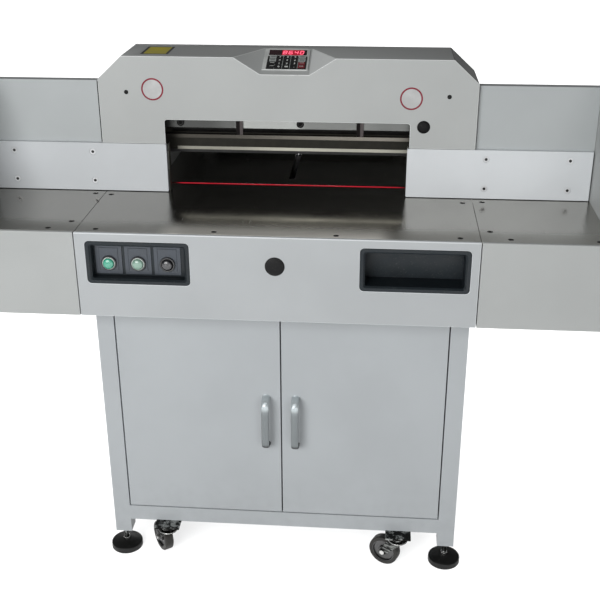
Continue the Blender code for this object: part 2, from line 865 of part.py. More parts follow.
def front_apron():
    apron = prism("front_apron", apron_outline(TABLE_HEIGHT), "X", -BODY_HALF, BODY_HALF, light_paint)
    for name, x, width in (("control", CONTROL_X, CONTROL_WIDTH), ("tray", TRAY_X, TRAY_WIDTH)):
        outline = rounded(
            width + 2 * SEAT,
            POCKET_HEIGHT + 2 * SEAT,
            POCKET_RADIUS,
            (x, pocket_middle()),
        )
        cut(apron, prism(f"apron_{name}_hole", outline, "Y", back(-OVERRUN), back(OVERRUN)))
    shank = FRONT_PLUG_R * PLUG_SHANK_SHARE + PIN_PLAY
    centre = (0.0, back(-OVERRUN), up(-FRONT_PLUG_DROP))
    cut(apron, rod_shape("apron_plug_hole", shank, 2 * OVERRUN, centre, "Y"))
    plug("front_plug", FRONT_PLUG_R, (0.0, back(0.0), up(-FRONT_PLUG_DROP)))


def plug(name, radius, place):
    """Push-in cap: low dome with a shank behind it."""
    shank = radius * PLUG_SHANK_SHARE
    outline = [
        (0.0, -PLUG_DOME),
        (radius * PLUG_SHANK_SHARE, -PLUG_DOME * PLUG_SHANK_SHARE),
        (radius, -SEAT - PLUG_RIM),
        (radius, -SEAT),
        (shank, -SEAT),
        (shank, PLUG_SHANK),
        (0.0, PLUG_SHANK),
    ]
    return turned(name, outline, place, "Y", finish=black_plastic)


def pocket(name, x, width, depth):
    """Moulded pocket: bevelled frame in the apron, thin walls and a floor behind it."""
    z = pocket_middle()
    front = back(0.0)
    rear = back(depth + POCKET_WALL)
    body = prism(name, rounded(width, POCKET_HEIGHT, POCKET_RADIUS, (x, z)), "Y", front, rear, slate_plastic)
    inner_width = width - 2 * POCKET_FRAME
    inner_height = POCKET_HEIGHT - 2 * POCKET_FRAME
    radius = POCKET_RADIUS - POCKET_FRAME / 2
    hollow = prism(
        name + "_hollow",
        rounded(inner_width, inner_height, radius, (x, z)),
        "Y",
        front - OVERRUN,
        back(depth),
    )
    mouth = 2 * POCKET_BEVEL
    bevel = prism(
        name + "_bevel",
        rounded(inner_width + 2 * mouth, inner_height + 2 * mouth, radius + POCKET_BEVEL, (x, z)),
        "Y",
        front - POCKET_BEVEL,
        front + POCKET_BEVEL,
        end_outline=rounded(inner_width, inner_height, radius, (x, z)),
    )
    cut(body, hollow, bevel)
    return body


def controls():
    """Control pocket with its three button modules, and the tray pocket."""
    box = pocket("control_pocket", CONTROL_X, CONTROL_WIDTH, CONTROL_DEPTH)
    pocket("tray_pocket", TRAY_X, TRAY_WIDTH, TRAY_DEPTH)
    floor = back(CONTROL_DEPTH)
    z = up(-BUTTON_DROP)
    colours = {
        "green_button": (0.03, 0.42, 0.24),
        "pale_button": (0.20, 0.42, 0.34),
        "black_button": (0.02, 0.02, 0.022),
    }
    for number, (name, colour) in enumerate(colours.items()):
        x = BUTTON_CENTRE_X + (number - 1) * BUTTON_PITCH
        module_low = up(-POCKET_TOP - POCKET_HEIGHT) + POCKET_FRAME + MODULE_MARGIN
        module_high = up(-POCKET_TOP) - POCKET_FRAME - MODULE_MARGIN
        module = block(
            name + "_module",
            (x - MODULE_WIDTH / 2, floor - MODULE_PROUD, module_low),
            (x + MODULE_WIDTH / 2, floor + SHEET, module_high),
        )
        bezel = rod_shape(name + "_bezel", BEZEL_R, BEZEL_HEIGHT + SHEET, (x, floor - BEZEL_HEIGHT, z), "Y")
        fuse(box, module, bezel)
        cap_way = rod_shape(
            name + "_cap_way",
            BUTTON_R + PIN_PLAY,
            BEZEL_HEIGHT + OVERRUN - SEAT,
            (x, floor - BEZEL_HEIGHT - OVERRUN, z),
            "Y",
        )
        stem_way = rod_shape(
            name + "_stem_way",
            BUTTON_STEM_R + PIN_PLAY,
            2 * OVERRUN,
            (x, floor - OVERRUN, z),
            "Y",
            SMALL_STEPS,
        )
        cut(box, cap_way, stem_way)
        cap_back = -BUTTON_TRAVEL - 2 * SEAT
        outline = [(BUTTON_R * wide, -BUTTON_STAND - BUTTON_DOME * high) for wide, high in BUTTON_DOME_SHARES]
        outline += [
            (BUTTON_R, cap_back),
            (BUTTON_STEM_R, cap_back),
            (BUTTON_STEM_R, POCKET_WALL),
            (0.0, POCKET_WALL),
        ]
        turned(name, outline, (x, floor, z), "Y", finish=lambda made, c=colour: material(made, c, 0.3))


def tables():
    """Ground main table, its cutting stick, the rear table on ribs, and the side tables."""
    table = block(
        "main_table",
        (-BODY_HALF + SEAT, back(APRON_LIP + SEAT), TABLE_UNDER),
        (BODY_HALF - SEAT, back(BASE_DEPTH), TABLE_HEIGHT),
        ground_steel,
    )
    for side in (-1, 1):
        inner = side * (FRAME_INNER - SEAT)
        outer = side * (BODY_HALF + OVERRUN)
        notch = block(
            f"table_notch_{side_name(side)}",
            (min(inner, outer), back(FRAME_SETBACK - SEAT), TABLE_UNDER - OVERRUN),
            (max(inner, outer), back(FRAME_SETBACK + FRAME_DEPTH + SEAT), TABLE_HEIGHT + OVERRUN),
        )
        cut(table, notch)
    groove = block(
        "table_groove",
        (-STICK_LENGTH / 2 - SEAT, back(CUT_SETBACK - STICK_SIZE / 2 - SEAT), up(-STICK_SIZE - SEAT)),
        (STICK_LENGTH / 2 + SEAT, back(CUT_SETBACK + STICK_SIZE / 2 + SEAT), TABLE_HEIGHT + OVERRUN),
    )
    rod_way = block(
        "table_rod_way",
        (ROD_X - KNIFE_DRIFT - ROD_WIDTH / 2 - SHEET, back(ROD_SETBACK - SHEET), TABLE_UNDER - OVERRUN),
        (ROD_X + ROD_WIDTH / 2 + SHEET, back(ROD_SETBACK + ROD_THICK + SHEET), TABLE_HEIGHT + OVERRUN),
    )
    slot = block(
        "table_gauge_slot",
        (-SLOT_HALF, back(SLOT_FRONT), TABLE_UNDER - OVERRUN),
        (SLOT_HALF, back(BASE_DEPTH + OVERRUN), TABLE_HEIGHT + OVERRUN),
    )
    cut(table, groove, rod_way, slot)
    fuse(table, bearing("table_bearing", BEARING_FRONT))
    cut(table, bearing_bore("table_bearing_bore", BEARING_FRONT))
    block(
        "cutting_stick",
        (-STICK_LENGTH / 2, back(CUT_SETBACK - STICK_SIZE / 2), up(-STICK_SIZE)),
        (STICK_LENGTH / 2, back(CUT_SETBACK + STICK_SIZE / 2), TABLE_HEIGHT),
        lambda name: material(name, (0.45, 0.03, 0.03), 0.5),
    )
    rear_table()
    for side in (-1, 1):
        inner = side * (BODY_HALF + SEAT)
        outer = side * (SIDE_END - SEAT)
        block(
            side_name(side) + "_side_table",
            (min(inner, outer), back(APRON_LIP + SEAT), up(-PLATE)),
            (max(inner, outer), back(SIDE_TABLE_DEPTH - SHEET - SEAT), TABLE_HEIGHT),
            ground_steel,
        )


def bearing(name, setback):
    """Lug under a table that carries one end of the lead screw."""
    return block(
        name,
        (-BEARING_WIDTH / 2, back(setback), up(-BEARING_DROP)),
        (BEARING_WIDTH / 2, back(setback + BEARING_LENGTH), TABLE_UNDER + SHEET),
    )


def bearing_bore(name, setback):
    place = (0.0, back(setback - OVERRUN), up(-SCREW_DROP))
    return rod_shape(name, SCREW_R + PIN_PLAY, BEARING_LENGTH + 2 * OVERRUN, place, "Y", SMALL_STEPS)


def rear_table():
    half = REAR_TABLE_WIDTH / 2
    front = back(BASE_DEPTH + SEAT)
    rear = back(DEPTH)
    table = block("rear_table", (-half, front, TABLE_UNDER), (half, rear, TABLE_HEIGHT), ground_steel)
    slot = block(
        "rear_table_slot",
        (-SLOT_HALF, front - OVERRUN, TABLE_UNDER - OVERRUN),
        (SLOT_HALF, back(SLOT_REAR), TABLE_HEIGHT + OVERRUN),
    )
    cut(table, slot)
    for side in (-1, 1):
        start = side * (half - RIB_THICK) - RIB_THICK / 2
        outline = [
            (front, TABLE_UNDER + SHEET),
            (front, TABLE_UNDER - RIB_DEPTH),
            (rear - RIB_DEPTH / 2, TABLE_UNDER - RIB_THICK),
            (rear - RIB_DEPTH / 2, TABLE_UNDER + SHEET),
        ]
        fuse(table, prism(f"rear_table_rib_{side_name(side)}", outline, "X", start, start + RIB_THICK))
    fuse(table, bearing("rear_table_bearing", BEARING_REAR))
    cut(table, bearing_bore("rear_table_bore", BEARING_REAR))


def side_aprons():
    """Painted pans under the side tables; the outer wall rises and tapers beside the table."""
    for side in (-1, 1):
        name = side_name(side) + "_side_apron"
        inner = BODY_HALF + 2 * SEAT
        outer = SIDE_END + SHEET
        low_x, high_x = sorted((side * inner, side * outer))
        apron = prism(name, apron_outline(TABLE_HEIGHT), "X", low_x, high_x, light_paint)
        rim = block(
            name + "_rim",
            (low_x, back(0.0), BASE_BOTTOM),
            (high_x, back(SIDE_TABLE_DEPTH), up(-PLATE - SEAT)),
        )
        hollow = block(
            name + "_hollow",
            (low_x + SHEET, back(APRON_SHEET), BASE_BOTTOM - OVERRUN),
            (high_x - SHEET, back(SIDE_TABLE_DEPTH - SHEET), TABLE_HEIGHT + OVERRUN),
        )
        cut(rim, hollow)
        wall_top = up(WING_RISE)
        outline = [
            (back(0.0), BASE_BOTTOM),
            (back(SIDE_TABLE_DEPTH), BASE_BOTTOM),
            (back(SIDE_TABLE_DEPTH), wall_top),
            (back(END_WALL_KNEE), wall_top),
            (back(END_WALL_FRONT), up(END_WALL_LOW)),
            (back(0.0) + APRON_LIP, up(END_WALL_LOW / 2)),
            (back(0.0), TABLE_HEIGHT),
        ]
        start, end = sorted((side * SIDE_END, side * outer))
        wall = prism(name + "_wall", outline, "X", start, end)
        fuse(apron, rim, wall)


def fences():
    """Side gauge plates in front of the head, and the folded wing panels behind them."""
    for side in (-1, 1):
        inner, outer = MOUTH_WIDTH / 2 - FENCE_LAP, SIDE_END - SEAT
        low_x, high_x = sorted((side * inner, side * outer))
        fence = block(
            side_name(side) + "_fence",
            (low_x, back(FENCE_SETBACK), up(SEAT)),
            (high_x, back(FENCE_SETBACK + FENCE_THICK), up(FENCE_HEIGHT)),
            light_paint,
        )
        chamfer(fence, FENCE_EDGE)
        front = FENCE_SETBACK + FENCE_THICK + SEAT
        low_x, high_x = sorted((side * (BODY_HALF + SEAT), side * (SIDE_END - SEAT)))
        name = side_name(side) + "_wing_panel"
        wing = block(
            name,
            (low_x, back(front), up(SEAT)),
            (high_x, back(front + WING_RETURN), up(WING_RISE)),
            light_paint,
        )
        hollow = block(
            name + "_hollow",
            (low_x + SHEET, back(front + SHEET), up(-OVERRUN)),
            (high_x - SHEET, back(front + WING_RETURN + OVERRUN), up(WING_RISE - SHEET)),
        )
        cut(wing, hollow)


def head_outline(inset):
    """Front outline of the head, drawn in by a wall thickness; the drawn-in one runs on downwards."""
    lean = math.atan2(HEAD_RISE - HEAD_SHOULDER, BODY_HALF - HEAD_TOP_WIDTH / 2)
    half = BODY_HALF - inset
    top_half = HEAD_TOP_WIDTH / 2 - inset * math.tan(lean / 2)
    shoulder = up(HEAD_SHOULDER) - inset * math.tan((math.pi / 2 - lean) / 2)
    low = up(SEAT) - (OVERRUN if inset else 0.0)
    return [
        (-half, low),
        (half, low),
        (half, shoulder),
        (top_half, up(HEAD_RISE - inset)),
        (-top_half, up(HEAD_RISE - inset)),
        (-half, shoulder),
    ]


def console_wedge(name, inset):
    """Solid above the console's facets: a slope with a flared facet at each side."""
    half = CONSOLE_WIDTH / 2 + inset
    spread = CONSOLE_SPREAD / 2 + inset
    front = back(HEAD_SETBACK)
    low = up(CONSOLE_LOW) - inset
    top = up(HEAD_RISE) - inset
    rear = back(HEAD_SETBACK + CONSOLE_REACH)
    flare = (spread - half) / (top - low)
    slope = (rear - front) / (top - low)
    start = front - OVERRUN
    lower = low - OVERRUN / slope
    upper = top + OVERRUN
    crest_y = rear + OVERRUN * slope
    wide = half + flare * (upper - lower)
    bm = bmesh.new()

    def corner(x, y, z):
        return bm.verts.new((CONSOLE_X + x, y, z))

    base = [corner(-half, start, lower), corner(half, start, lower)]
    crest = [corner(half, crest_y, upper), corner(-half, crest_y, upper)]
    tips = [corner(-wide, start, upper), corner(wide, start, upper)]
    faces = (
        (base[0], base[1], crest[0], crest[1]),
        (base[0], crest[1], tips[0]),
        (base[1], tips[1], crest[0]),
        (tips[0], crest[1], crest[0], tips[1]),
        (base[0], tips[0], tips[1], base[1]),
    )
    for face in faces:
        bm.faces.new(face)
    return put(name, bm)


def head():
    """Sheet cover over the knife: sloped shoulders, mouth, console facets and two small holes."""
    front = back(HEAD_SETBACK)
    rear = back(HEAD_SETBACK + HEAD_DEPTH)
    cover = prism("head_cover", head_outline(0.0), "Y", front, rear, light_paint)
    cut(cover, console_wedge("head_console", 0.0))
    inside = prism("head_inside", head_outline(HEAD_SHEET), "Y", front + HEAD_SHEET, rear - HEAD_SHEET)
    cut(inside, console_wedge("head_console_inside", HEAD_SHEET))
    cut(cover, inside)
    middle = up(MOUTH_RISE) - MOUTH_WIDTH / 2
    mouth = prism(
        "head_mouth",
        rounded(MOUTH_WIDTH, MOUTH_WIDTH, MOUTH_RADIUS, (0.0, middle)),
        "Y",
        front - OVERRUN,
        front + HEAD_SHEET + SHEET,
    )
    skirt = block(
        "head_skirt",
        (-BODY_HALF - OVERRUN, front - OVERRUN, up(-OVERRUN)),
        (BODY_HALF + OVERRUN, back(FENCE_SETBACK + FENCE_THICK + SEAT), up(FENCE_HEIGHT + SEAT)),
    )
    throat = block(
        "head_throat",
        (-REAR_TABLE_WIDTH / 2 + SHEET, rear - HEAD_SHEET - SHEET, up(-OVERRUN)),
        (REAR_TABLE_WIDTH / 2 - SHEET, rear + OVERRUN, up(REAR_THROAT_RISE)),
    )
    cut(cover, mouth, skirt, throat)
    shank = HEAD_PLUG_R * PLUG_SHANK_SHARE + PIN_PLAY
    hole_place = (HEAD_PLUG_X, front - OVERRUN, up(HEAD_PLUG_RISE))
    cut(cover, rod_shape("head_plug_hole", shank, 2 * OVERRUN, hole_place, "Y"))
    plug("head_plug", HEAD_PLUG_R, (HEAD_PLUG_X, front, up(HEAD_PLUG_RISE)))
    console_panel()


def console_panel():
    """Display and keypad plate that lies on the console's slope."""
    rise = HEAD_RISE - CONSOLE_LOW
    tilt = math.atan2(rise, CONSOLE_REACH)
    panel = prism(
        "console_panel",
        rounded(PANEL_WIDTH, PANEL_LENGTH, PANEL_RADIUS),
        "Z",
        SEAT,
        SEAT + PANEL_THICK,
        black_plastic,
    )
    panel.location = (
        CONSOLE_X,
        back(HEAD_SETBACK) + PANEL_OFFSET * math.cos(tilt),
        up(CONSOLE_LOW) + PANEL_OFFSET * math.sin(tilt),
    )
    panel.rotation_euler.x = tilt


def side_frames():
    """Cast side frames that carry the crossbeam, the gibs and the clamp's guide grooves."""
    front = back(FRAME_SETBACK)
    rear = back(FRAME_SETBACK + FRAME_DEPTH)
    low = PAN_TOP + SEAT
    knee = low + FRAME_FOOT_RISE
    top = up(FRAME_RISE)
    throat = TABLE_UNDER - SHEET
    outline = [
        (front - FRAME_FOOT, low),
        (rear + FRAME_FOOT, low),
        (rear + FRAME_FOOT, knee),
        (rear, throat),
        (rear, top),
        (front + FRAME_CHAMFER, top),
        (front, top - FRAME_CHAMFER),
        (front, throat),
        (front - FRAME_FOOT, knee),
    ]
    for side in (-1, 1):
        name = side_name(side) + "_side_frame"
        low_x, high_x = sorted((side * FRAME_INNER, side * (FRAME_INNER + FRAME_THICK)))
        frame = prism(name, outline, "X", low_x, high_x, cast_iron)
        groove_x = sorted((side * (FRAME_INNER - OVERRUN), side * (FRAME_INNER + CLAMP_TONGUE + SHEET)))
        groove = block(
            name + "_groove",
            (groove_x[0], back(CLAMP_SETBACK + CLAMP_LIP - SEAT), up(SEAT)),
            (groove_x[1], back(CLAMP_SETBACK + CLAMP_DEPTH + SEAT), up(CLAMP_HIGH + SHEET)),
        )
        window = rod_shape(
            name + "_window",
            FRAME_WINDOW_R,
            FRAME_THICK + 2 * OVERRUN,
            (low_x - OVERRUN, (front + rear) / 2, (low + TABLE_UNDER) / 2),
            "X",
        )
        cut(frame, groove, window)


def crossbeam():
    """Cast beam between the side frames with pockets in its front and the spindle's bore."""
    half = FRAME_INNER - SEAT
    front = back(BEAM_SETBACK)
    rear = back(FRAME_SETBACK + FRAME_DEPTH)
    beam = block("crossbeam", (-half, front, up(BEAM_LOW)), (half, rear, up(BEAM_RISE)), cast_iron)
    bore_half = SPINDLE_PULLEY_R + BEAM_WALL
    for side in (-1, 1):
        pocket_x = sorted((side * bore_half, side * (half - BEAM_WALL)))
        middle = (pocket_x[0] + pocket_x[1]) / 2
        for number, (low_x, high_x) in enumerate(
            ((pocket_x[0], middle - BEAM_WALL / 2), (middle + BEAM_WALL / 2, pocket_x[1]))
        ):
            recess = block(
                f"beam_pocket_{side_name(side)}_{number}",
                (low_x, front - OVERRUN, up(BEAM_LOW + BEAM_WALL)),
                (high_x, front + BEAM_POCKET, up(BEAM_RISE - BEAM_WALL)),
            )
            cut(beam, recess)
    bore = rod_shape(
        "beam_bore",
        SPINDLE_R + PIN_PLAY,
        BEAM_RISE - BEAM_LOW + 2 * OVERRUN,
        (0.0, back(SPINDLE_SETBACK), up(BEAM_LOW) - OVERRUN),
        steps=ROUND_STEPS,
    )
    cut(beam, bore)


def gib_edge(side, rise):
    """X of the slanted face on which a carrier end slides, at a height above the table."""
    end = KNIFE_OFFSET + side * (CARRIER_LENGTH / 2 + SEAT)
    return end + KNIFE_SLOPE * (rise - CARRIER_MIDDLE)


def gibs():
    """Wedge plates on the side frames; their inner faces slant along the knife's path."""
    for side in (-1, 1):
        wall = side * (FRAME_INNER - SEAT)
        outline = [
            (gib_edge(side, GIB_LOW), up(GIB_LOW)),
            (gib_edge(side, GIB_HIGH), up(GIB_HIGH)),
            (wall, up(GIB_HIGH)),
            (wall, up(GIB_LOW)),
        ]
        prism(
            side_name(side) + "_gib",
            outline,
            "Y",
            back(CARRIER_SETBACK),
            back(CUT_SETBACK - SEAT),
            ground_steel,
        )


def knife():
    """Carrier with slanted ends, stepped back for the blade; adjusting posts stand on its front."""
    front = back(CARRIER_SETBACK)
    cut_y = back(CUT_SETBACK)
    blade_front = cut_y - BLADE_THICK
    blade_low = up(BLADE_LOW)
    blade_high = blade_low + BLADE_HEIGHT
    outline = [
        (front, up(CARRIER_LOW)),
        (blade_front - SEAT, up(CARRIER_LOW)),
        (blade_front - SEAT, blade_high + SEAT),
        (cut_y, blade_high + SEAT),
        (cut_y, up(CARRIER_HIGH)),
        (front, up(CARRIER_HIGH)),
    ]
    half = CARRIER_LENGTH / 2
    carrier = prism("knife_carrier", outline, "X", KNIFE_OFFSET - half, KNIFE_OFFSET + half, ground_steel)
    middle = up(CARRIER_MIDDLE)
    for corner in carrier.data.vertices:
        corner.co.x += KNIFE_SLOPE * (corner.co.z - middle)
    for side in (-1, 1):
        x = KNIFE_OFFSET + side * POST_PITCH / 2
        post = block(
            f"carrier_post_{side_name(side)}",
            (x - POST_WIDTH / 2, front - POST_PROUD, up(POST_LOW)),
            (x + POST_WIDTH / 2, front + SHEET, up(CARRIER_HIGH - POST_PROUD)),
        )
        fuse(carrier, post)
    pivot(carrier, (KNIFE_OFFSET, cut_y, middle))
    outline = [
        (cut_y, blade_low),
        (cut_y, blade_high),
        (blade_front, blade_high),
        (blade_front, blade_low + BEVEL_HEIGHT),
        (cut_y - BEVEL_EDGE, blade_low),
    ]
    half = BLADE_LENGTH / 2
    blade = prism("knife_blade", outline, "X", KNIFE_OFFSET - half, KNIFE_OFFSET + half, ground_steel)
    pivot(blade, (KNIFE_OFFSET, cut_y, blade_low))


def link_outline(start, end, start_radius, end_radius, width):
    """Two round eyes joined by a straight bar, as X and Z points."""
    direction = math.atan2(end[1] - start[1], end[0] - start[0])
    points = []
    for centre, radius, base in ((end, end_radius, 0.0), (start, start_radius, math.pi)):
        open_angle = math.asin(width / 2 / radius)
        for step in range(SMALL_STEPS + 1):
            share = step / SMALL_STEPS
            angle = direction + base + (math.pi - open_angle) * (2 * share - 1)
            points.append((centre[0] + radius * math.cos(angle), centre[1] + radius * math.sin(angle)))
    return points


def drive():
    """Pull rod, crank, gearbox and motor under the right end of the table."""
    front = back(ROD_SETBACK)
    top = (ROD_X, up(ROD_TOP))
    low = (ROD_X, up(ROD_LOW))
    outline = link_outline(low, top, ROD_EYE_R, ROD_EYE_R, ROD_WIDTH)
    rod = prism("pull_rod", outline, "Y", front, front + ROD_THICK, cast_iron)
    boss_place = (ROD_X, front + ROD_THICK - SHEET, top[1])
    boss = rod_shape("rod_boss", ROD_EYE_R - SHEET, ROD_BOSS + SHEET, boss_place, "Y")
    fuse(rod, boss)
    eye = (ROD_X, front - OVERRUN, low[1])
    cut(rod, rod_shape("rod_eye", ROD_PIN_R, ROD_THICK + 2 * OVERRUN, eye, "Y", SMALL_STEPS))
    crank_y = back(CRANK_SETBACK)
    centre = (CRANK_X, up(CRANK_RISE))
    web_y = crank_y + CRANK_BOSS
    outline = link_outline(centre, low, CRANK_HUB_R, CRANK_EYE_R, CRANK_WIDTH)
    crank = prism("crank", outline, "Y", web_y, web_y + CRANK_THICK, cast_iron)
    pin = rod_shape("crank_pin", ROD_PIN_R, CRANK_BOSS + SHEET, (low[0], crank_y, low[1]), "Y", SMALL_STEPS)
    shaft_y = web_y + CRANK_THICK - SHEET
    shaft = rod_shape("crank_shaft", CRANK_SHAFT_R, CRANK_SHAFT + SHEET, (centre[0], shaft_y, centre[1]), "Y")
    fuse(crank, pin, shaft)
    pivot(crank, (centre[0], web_y, centre[1]))
    gear_y = back(GEARBOX_SETBACK)
    half = GEARBOX_WIDTH / 2
    outline = [
        (CRANK_X - half, PAN_TOP + SEAT),
        (CRANK_X + half, PAN_TOP + SEAT),
        (CRANK_X + half, up(GEARBOX_RISE) - GEARBOX_CHAMFER),
        (CRANK_X + half - GEARBOX_CHAMFER, up(GEARBOX_RISE)),
        (CRANK_X - half + GEARBOX_CHAMFER, up(GEARBOX_RISE)),
        (CRANK_X - half, up(GEARBOX_RISE) - GEARBOX_CHAMFER),
    ]
    gearbox = prism("gearbox", outline, "Y", gear_y, gear_y + GEARBOX_DEPTH, cast_iron)
    bore = (CRANK_X, gear_y - OVERRUN, up(CRANK_RISE))
    depth = CRANK_SHAFT - CRANK_AIR + SEAT + OVERRUN
    cut(gearbox, rod_shape("gearbox_bore", CRANK_SHAFT_R + PIN_PLAY, depth, bore, "Y"))
    outline = [
        (0.0, 0.0),
        (MOTOR_FLANGE_R, 0.0),
        (MOTOR_FLANGE_R, MOTOR_FLANGE),
        (MOTOR_R, MOTOR_FLANGE),
        (MOTOR_R, MOTOR_LENGTH - MOTOR_COWL),
        (MOTOR_COWL_R, MOTOR_LENGTH - MOTOR_COWL),
        (MOTOR_COWL_R, MOTOR_LENGTH - MOTOR_FLANGE),
        (MOTOR_R, MOTOR_LENGTH),
        (0.0, MOTOR_LENGTH),
    ]
    place = (CRANK_X, back(MOTOR_SETBACK), up(CRANK_RISE))
    turned("main_motor", outline, place, "Y", FINE_STEPS, dark_paint)


def clamp():
    """Clamp beam on tongues in the side frames, and the spindle that drives it down."""
    front = back(CLAMP_SETBACK)
    rear = front + CLAMP_DEPTH
    low = up(CLAMP_LOW)
    outline = [
        (front, low),
        (rear, low),
        (rear, up(CLAMP_HIGH)),
        (front + CLAMP_LIP, up(CLAMP_HIGH)),
        (front + CLAMP_LIP, low + CLAMP_FOOT),
        (front + CLAMP_STEP, low + CLAMP_FOOT),
        (front + CLAMP_STEP, low + CLAMP_STRIP),
        (front, low + CLAMP_STRIP),
    ]
    half = CLAMP_END / 2
    beam = prism("clamp", outline, "X", -half, half, cast_iron)
    reach = FRAME_INNER + CLAMP_TONGUE
    tongue = block(
        "clamp_tongue",
        (-reach, front + CLAMP_LIP, low),
        (reach, rear, up(CLAMP_HIGH)),
    )
    lug = block(
        "clamp_lug",
        (-CLAMP_LUG_WIDTH / 2, rear - SHEET, up(CLAMP_HIGH - CLAMP_LUG_HEIGHT)),
        (CLAMP_LUG_WIDTH / 2, back(SPINDLE_SETBACK + SPINDLE_R) + PLATE, up(CLAMP_HIGH)),
    )
    fuse(beam, tongue, lug)
    bore = rod_shape(
        "clamp_bore",
        SPINDLE_R + PIN_PLAY,
        CLAMP_LUG_HEIGHT + 2 * OVERRUN,
        (0.0, back(SPINDLE_SETBACK), up(CLAMP_HIGH - CLAMP_LUG_HEIGHT) - OVERRUN),
    )
    cut(beam, bore)
    pivot(beam, (0.0, back(SPINDLE_SETBACK), low))
    top = BEAM_RISE + SEAT
    outline = [
        (0.0, 0.0),
        (SPINDLE_R, 0.0),
        (SPINDLE_R, top - SPINDLE_LOW),
        (SPINDLE_PULLEY_R, top - SPINDLE_LOW),
        (SPINDLE_PULLEY_R, top - SPINDLE_LOW + SPINDLE_PULLEY),
        (0.0, top - SPINDLE_LOW + SPINDLE_PULLEY),
    ]
    turned("clamp_spindle", outline, (0.0, back(SPINDLE_SETBACK), up(SPINDLE_LOW)), finish=ground_steel)


def back_gauge():
    """Ribbed angle casting that slides on the table, driven by the screw below its slot."""
    face = back(GAUGE_FACE)
    low = up(GAUGE_LIFT)
    half = GAUGE_WIDTH / 2
    outline = [
        (face, low),
        (face + GAUGE_FOOT, low),
        (face + GAUGE_FOOT, low + GAUGE_FOOT_THICK),
        (face + GAUGE_PLATE, low + GAUGE_FOOT_THICK),
        (face + GAUGE_PLATE, low + GAUGE_HEIGHT),
        (face, low + GAUGE_HEIGHT),
    ]
    gauge = prism("back_gauge", outline, "X", -half, half, cast_iron)
    rib_outline = [
        (face + GAUGE_PLATE / 2, low + GAUGE_FOOT_THICK / 2),
        (face + GAUGE_FOOT - GAUGE_RIB / 2, low + GAUGE_FOOT_THICK / 2),
        (face + GAUGE_FOOT - GAUGE_RIB / 2, low + GAUGE_FOOT_THICK + GAUGE_RIB / 2),
        (face + GAUGE_PLATE + GAUGE_RIB / 2, low + GAUGE_HEIGHT - GAUGE_RIB),
        (face + GAUGE_PLATE / 2, low + GAUGE_HEIGHT - GAUGE_RIB),
    ]
    for number in range(GAUGE_RIBS):
        share = number / (GAUGE_RIBS - 1)
        x = -half + share * (GAUGE_WIDTH - GAUGE_RIB)
        fuse(gauge, prism(f"gauge_rib_{number}", rib_outline, "X", x, x + GAUGE_RIB))
    nut_low = up(-BEARING_DROP)
    tongue = block(
        "gauge_tongue",
        (-GAUGE_TONGUE / 2, back(NUT_SETBACK), TABLE_UNDER - 2 * SHEET),
        (GAUGE_TONGUE / 2, back(NUT_SETBACK + GAUGE_NUT_LENGTH), low + GAUGE_FOOT_THICK / 2),
    )
    nut = block(
        "gauge_nut",
        (-GAUGE_NUT / 2, back(NUT_SETBACK), nut_low),
        (GAUGE_NUT / 2, back(NUT_SETBACK + GAUGE_NUT_LENGTH), TABLE_UNDER - SHEET),
    )
    fuse(gauge, tongue, nut)
    place = (0.0, back(NUT_SETBACK) - OVERRUN, up(-SCREW_DROP))
    depth = GAUGE_NUT_LENGTH + 2 * OVERRUN
    bore = rod_shape("gauge_bore", SCREW_R + PIN_PLAY, depth, place, "Y", SMALL_STEPS)
    cut(gauge, bore)
    pivot(gauge, (0.0, face, TABLE_HEIGHT))
    start = back(BEARING_FRONT)
    length = BEARING_REAR + BEARING_LENGTH - BEARING_FRONT
    rod_shape("gauge_screw", SCREW_R, length, (0.0, start, up(-SCREW_DROP)), "Y", SMALL_STEPS, ground_steel)
    motor_y = start + length + SEAT
    size = GAUGE_MOTOR_SIZE / 2
    motor = block(
        "gauge_motor",
        (-size, motor_y, up(-SCREW_DROP) - size + SHEET),
        (size, motor_y + GAUGE_MOTOR_LENGTH, TABLE_UNDER - SEAT),
        dark_paint,
    )
    chamfer(motor, SHEET)


def rear_guard():
    """Folded hood over the rear table, open to the head and closed at the tail."""
    front = back(HEAD_SETBACK + HEAD_DEPTH) + SEAT
    rear = back(DEPTH)
    low = up(SEAT)
    half = REAR_TABLE_WIDTH / 2
    outline = [
        (front, low),
        (rear, low),
        (rear, up(GUARD_TAIL)),
        (rear - GUARD_SLOPE, up(GUARD_RISE)),
        (front, up(GUARD_RISE)),
    ]
    guard = prism("rear_guard", outline, "X", -half, half, light_paint)
    outline = [
        (front - OVERRUN, low - OVERRUN),
        (rear - SHEET, low - OVERRUN),
        (rear - SHEET, up(GUARD_TAIL) - SHEET / 2),
        (rear - GUARD_SLOPE - SHEET / 2, up(GUARD_RISE) - SHEET),
        (front - OVERRUN, up(GUARD_RISE) - SHEET),
    ]
    cut(guard, prism("rear_guard_hollow", outline, "X", -half + SHEET, half - SHEET))


def build():
    clear_scene()
    stand()
    doors()
    feet()
    casters()
    cabinet()
    base()
    front_apron()
    controls()
    tables()
    side_aprons()
    fences()
    head()
    side_frames()
    crossbeam()
    gibs()
    knife()
    drive()
    clamp()
    back_gauge()
    rear_guard()


build()
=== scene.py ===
import json
import math

import bpy
from mathutils import Matrix, Vector

